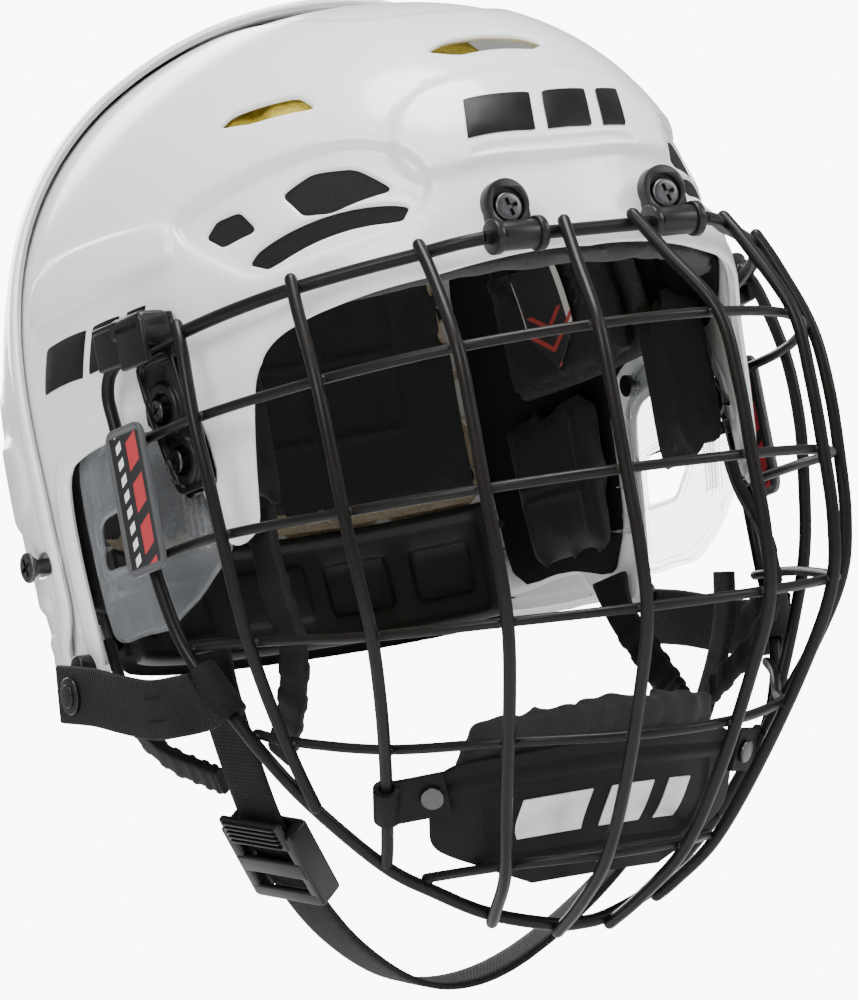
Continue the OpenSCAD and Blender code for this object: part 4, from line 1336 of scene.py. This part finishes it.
# ---- Chin cup ----
# A matt black moulded cup with a large sunk panel and plain raised bars, riveted to two arms
# that wrap the outer wires. A soft black pad fills it and stands up behind its top edge.
cup_rows = [[-81, -110, 0.97], [-78.5, -117, 1], [-75, -124, 1], [-70.5, -132, 1], [-65.5, -140, 0.95],
            [-60, -147.5, 0.7], [-54, -154, 0.42]]
cup_half, cup_sweep = 52.0, 20.0
cup_line = through(cup_rows, 8)
cup_far = np.concatenate(([0], np.cumsum(np.linalg.norm(np.diff(cup_line[:, :2], axis=0), axis=1))))


def cup_point(across, far, depth, half=cup_half):
    """A place (m) on the cup: across from -1 to 1, far down its face in mm, depth in mm inwards."""
    kept = np.clip(far, 0, cup_far[-1])
    y, z, taper = (np.interp(kept, cup_far, cup_line[:, i]) for i in range(3))
    ahead = [np.interp(kept + 1, cup_far, cup_line[:, i]) - np.interp(kept - 1, cup_far, cup_line[:, i])
             for i in (0, 1)]
    ahead = np.array(ahead) / np.hypot(*ahead)
    wide = half * taper * across
    return np.column_stack((wide, y + ahead[0] * (far - kept) - ahead[1] * depth + cup_sweep
                            * (wide / cup_half) ** 2,
                            z + ahead[1] * (far - kept) + ahead[0] * depth)) * mm


def cup_sheet(name, across, far, depth, half=cup_half):
    """A sheet over a grid of the cup: across is rows by columns, far the same."""
    rows, columns = across.shape
    place = cup_point(across.ravel(), far.ravel(), np.broadcast_to(depth, across.shape).ravel(), half)
    faces = [(i * columns + j, i * columns + j + 1, (i + 1) * columns + j + 1, (i + 1) * columns + j)
             for i in range(rows - 1) for j in range(columns - 1)]
    return mesh_piece(name, place.tolist(), [f[::-1] for f in faces])


def thicken(made, wall, bevel):
    thick = made.modifiers.new("wall", "SOLIDIFY")
    thick.thickness, thick.offset = wall, -1
    apply_all(made)
    return rim_round(made, bevel, 3, 50)


cup_u, cup_v = np.meshgrid(np.linspace(-1, 1, 97), np.linspace(8.5, cup_far[-1], 57))
wide = np.abs(cup_u) * cup_half
box_gap = np.minimum(38 - wide, np.minimum(cup_v - 18, 42 - cup_v))
panel = 1.3 * step_up(box_gap / 1.6 + 0.5)
groove_line = -0.7 * np.exp(-((cup_v - 13.4) / 0.8) ** 2)
waist = 0.5 * np.exp(-((cup_v - 15.8) / 1.0) ** 2)
cup = cup_sheet("chin_cup_shell", cup_u, cup_v, panel - groove_line - waist)
mesh = bmesh.new()
mesh.from_mesh(cup.data)
for v in mesh.verts:
    corner = max(0, abs(v.co.x) - 0.044) / 0.008
    if v.co.z > -0.126:
        v.co.z -= 0.0045 * corner**2 * (v.co.z + 0.126) / 0.0085
mesh.to_mesh(cup.data)
mesh.free()
thicken(cup, 0.0028, 0.0009)
matt_black = finish("matt_black", moulded(0.0045, 0.55, 1400.0, 0.0002), Specular_IOR_Level=0.16)
settle(cup, "cage", "plastic_black", matt_black, "chin_cup")


def bar_silver(where):
    sheen = where.noise(120.0, 3.0)
    return {"Base_Color": sheen.mix((0.50, 0.50, 0.52, 1), (0.74, 0.74, 0.76, 1)),
            "Roughness": sheen * 0.2 + 0.25}


bars = []
for left, wide in ((-0.60, 0.40), (-0.08, 0.30), (0.34, 0.18)):
    u, v = np.meshgrid(np.linspace(0, 1, 9), np.linspace(0, 1, 7))
    bar_at = cup_sheet("bar", left + wide * u + 0.07 * (1 - v), 23.5 + 12.5 * v, 0.75)
    bars.append(thicken(bar_at, 0.0006, 0.00025))
settle(fuse("chin_cup_bars", bars), "cage", "plastic_black", finish("bar_silver", bar_silver, Metallic=0.35))

pad_u, pad_v = np.meshgrid(np.linspace(-1, 1, 33), np.linspace(-3.0, cup_far[-1] - 2, 19))
pad_rise = step_up((12 - pad_v) / 5)
pad = cup_sheet("chin_cushion", pad_u, pad_v, 4.9 - 3.2 * pad_rise, cup_half - 8)
thicken(pad, 0.0096, 0.002)
swollen(pad, 0.004, 0.0022, 2)
place, way = points_of(pad)
fold = np.sin(place[:, 0] * 520 + 2.2 * np.sin(place[:, 2] * 240)) * np.sin(place[:, 0] * 210 + 1.0)
hold = np.clip((place[:, 2] + 0.122) / 0.008, 0, 1)
place += way * (0.0006 * fold * hold)[:, None]
pad.data.vertices.foreach_set("co", place.ravel())
bpy.ops.object.shade_smooth()
settle(pad, "cage", "pad_black", black_pad, "chin_pad")


def remoulded(name, node, bevel, coat, slot, body, segments=2):
    """The CAD node's solid with its doubles merged and its edges rounded."""
    made = bpy.data.objects.new(name, frame["nodes"][node].data.copy())
    bpy.context.collection.objects.link(made)
    edit(made, (bpy.ops.mesh.remove_doubles, {"threshold": 0.00002}),
         (bpy.ops.mesh.dissolve_limited, {"angle_limit": math.radians(1)}),
         (bpy.ops.mesh.select_all, {"action": "SELECT"}),
         (bpy.ops.mesh.normals_make_consistent, {"inside": False}))
    rim_round(made, bevel, segments, 35)
    settle(made, body, slot, coat, node)
    return made


for word in ("r", "l"):
    remoulded("chin_arm_" + word, "chin_tab_" + word, 0.0005, matt_black, "plastic_black", "cage")
remoulded("chin_rivet_set", "chin_rivets", 0.0004, dark_screw, "screw_dark", "cage")
remoulded("stud_set", "strap_studs", 0.0008, clip_plastic, "plastic_black", "helmet", 3)

# ---- Harness ----
# Flat woven webbing: a chin strap with a slider buckle on the wearer's right, hung from ribbed
# moulded legs inside the shell, and a cage strap on each side from the frame wire to a stud.


def woven(where):
    weave = where.node("UVMap", {"uv_map": "weave"})
    u, v = weave.axis(0), weave.axis(1)
    rib = (v + u.wave(0.0012) * 0.5).wave(0.0006) * 1650.0
    warp = u.wave(0.0004) * 2500.0
    lint = where.noise(700.0, 3.0)
    height = rib * 0.7 + warp * 0.2 + lint * 0.15
    return {"Base_Color": (rib * 0.6 + lint * 0.4).mix((0.002, 0.002, 0.0022, 1), (0.009, 0.009, 0.010, 1)),
            "Roughness": lint * 0.15 + 0.62,
            "Normal": height.bump(0.5, 0.0004)}


web_cloth = finish("web_cloth", woven, Sheen_Weight=0.02, Specular_IOR_Level=0.15)


def ribbon(name, line, faces, width, thick, swell=None):
    """A flat band along the line (mm); faces say which way it faces, swell scales its width."""
    line, faces = np.array(line, float), np.array(faces, float)
    along = np.gradient(line, axis=0)
    along /= np.linalg.norm(along, axis=1)[:, None]
    out = faces - along * (faces * along).sum(1)[:, None]
    out /= np.linalg.norm(out, axis=1)[:, None]
    across = np.cross(out, along)
    swell = np.ones((len(line), 2)) if swell is None else swell
    h, e = thick / 2, min(thick * 0.4, 0.7)
    w = width / 2
    section = np.array([[w, 0], [w - e * 0.3, h * 0.7], [w - e, h], [w / 2, h * 1.04], [0, h * 1.06],
                        [-w / 2, h * 1.04],
                        [-w + e, h], [-w + e * 0.3, h * 0.7], [-w, 0], [-w + e * 0.3, -h * 0.7], [-w + e, -h],
                        [-w / 2, -h * 1.0], [0, -h * 1.0], [w / 2, -h * 1.0], [w - e, -h],
                        [w - e * 0.3, -h * 0.7]])
    count = len(section)
    rings = [p + section[:, :1] * s[0] * a + section[:, 1:] * s[1] * o for p, a, o,
             s in zip(line, across, out, swell)]
    far = np.concatenate(([0], np.cumsum(np.linalg.norm(np.diff(line, axis=0), axis=1)))) * mm
    faces_of = [(i * count + j, i * count + (j + 1) % count, (i + 1) * count + (j + 1) % count,
                 (i + 1) * count + j)
                for i in range(len(line) - 1) for j in range(count)]
    last = (len(line) - 1) * count
    ends = [tuple(range(count))[::-1], tuple(range(last, last + count))]
    made = mesh_piece(name, (np.vstack(rings) * mm).tolist(), faces_of + ends)
    uv = made.data.uv_layers.new(name="weave")
    for corner, loop in enumerate(made.data.loops):
        row, spot = divmod(loop.vertex_index, count)
        uv.data[corner].uv = (section[spot, 0] * mm, far[row])
    edit(made, (bpy.ops.mesh.normals_make_consistent, {"inside": False}))
    creased(50)
    return made


chin_half = np.array([[90.5, -9, -66], [88.5, -6, -82], [83, 0, -100], [74, 9, -121], [60, 21, -141],
                      [42, 33, -158],
                      [20, 43, -171], [0, 46, -175]], float)
line = through(np.vstack((chin_half, chin_half[-2::-1] * mirrored)), 8)
settle(ribbon("chin_webbing", line, line - [0, 10, -40], 17, 2), "helmet", "webbing_black", web_cloth,
       "chin_strap")

front_leg = [[81.6, -38, -34], [82.4, -39.5, -45], [84.4, -45, -60], [83.5, -47, -76], [81, -36, -90],
             [77, -20, -99],
             [75, -12, -103]]
rear_leg = [[89.6, 57, -56], [89.8, 54.5, -68], [91.6, 46, -83], [89, 33, -95], [84.6, 22, -102],
            [81.8, 15, -106]]
for points, heart, width, label_word in ((front_leg, (0, 0, -70), 9, "front_leg"),
                                         (rear_leg, (0, 0, -60), 10, "rear_leg")):
    line = through(points, 14)
    far = np.linspace(0, 1, len(line))
    ribs = 1 + 0.22 * (np.sin(far * math.pi * 22) > 0.1) * (far > 0.25)
    swell = np.column_stack((1 + 0.10 * (ribs > 1) + 0.25 * np.exp(-((far - 0.02) / 0.10) ** 2), ribs))
    for side, word in sides:
        turned = line * [side, 1, 1]
        made = ribbon(label_word + "_band_" + word, turned, turned - heart, width, 3, swell)
        settle(made, "helmet", "plastic_black", matt_black, label_word + "_" + word)

buckle_at = np.array([-67.3, 15.1, -131])
along = np.array([-74, 9, -121.0]) - [-60, 21, -141]
along /= np.linalg.norm(along)
out = buckle_at - [0, 10, -40]
out = out - along * (out @ along)
out /= np.linalg.norm(out)
beside_way = np.cross(along, out)
buckle_frame = Matrix([[*(float(a[i]) for a in (beside_way, along, out)), float(buckle_at[i]) * mm]
                       for i in range(3)]
                      + [[0, 0, 0, 1]])
buckle_bars = [
    [(-14, -14, -4.6), (-9.7, 14, 4.6), 1.1], [(9.7, -14, -4.6), (14, 14, 4.6), 1.1],
    [(-13, -14, -4.6), (13, -9.5, -2.7), 0.6], [(-13, -3, -4.6), (13, 3, -2.7), 0.6],
    [(-13, 9.5, -4.6), (13, 14, -2.7), 0.6], [(-13, -14, 2.7), (13, -9.2, 4.7), 0.8],
    [(-13, -3.2, 2.7), (13, 3.2, 5.0), 0.9], [(-12, 8.8, 2.7), (12, 18.8, 5.2), 1.0],
]
buckle_bars += [[(-10, 10.2 + 1.8 * i, 4.8), (10, 11.1 + 1.8 * i, 6.2), 0.35] for i in range(5)]
parts = [brick(Vector(low) * mm, Vector(high) * mm, soft * mm, buckle_frame) for low, high,
         soft in buckle_bars]
settle(fuse("slider_buckle", parts), "helmet", "plastic_black", clip_plastic, "chin_buckle")

loop_at = np.array([97.2, -20.6, -83.4])
loop_down = np.array([-6.2, -7.4, -19]) / np.linalg.norm([-6.2, -7.4, -19])
loop_back = np.cross([1, 0, 0], loop_down)
loop_back /= np.linalg.norm(loop_back)
loop_out = np.cross(loop_down, loop_back)
loop_turn = [[-1, 2.6], [-1, 1.2], [-0.97, 0.1], [-0.75, -0.7], [0, -1.02], [0.85, -0.7], [1.25, 0.1]]
path = [loop_at + 4.1 * (a * loop_out + b * loop_back) for a, b in loop_turn]
path += [[104.4, -9, -84.5], [105.2, 6, -83], [105.3, 24, -78.5], [105, 44, -73], [104.8, 66, -68.5]]
facing = [a * loop_out + min(0, b) * loop_back for a, b in loop_turn] + [[1.0, 0, 0]] * 5
line, faces = through(path, 8), through(facing, 8)
snap_at = (0.056, -0.0705)
stitch = Vector((0.0002, 0.00035, 0.00012))
for side, word, body in ((1, "l", "cage_strap_left"), (-1, "r", "cage_strap_right")):
    turn = np.array([side, 1, 1])
    band = ribbon("cage_webbing_" + word, line * turn, faces * turn, 18, 2)
    threads = []
    for row in (-0.0035, 0.0035):
        for step in range(9):
            spot = Vector((side * 0.10655, -0.002 + 0.0011 * step, -0.0839 + row + 0.00012 * step))
            threads.append(brick(spot - stitch, spot + stitch, 0))
    settle(fuse("cage_webbing_" + word, [band, *threads]), body, "webbing_black", web_cloth,
           "cage_strap_" + word)
    snap = drum((side * 0.1058, *snap_at), (side, 0, 0), 0.0058, 0.0016, 40, 0.0006)
    cap = drum((side * 0.1072, *snap_at), (side, 0, 0), 0.0036, 0.0009, 40, 0.0004)
    settle(fuse("snap_cap_" + word, [snap, cap]), body, "plastic_black", clip_plastic)
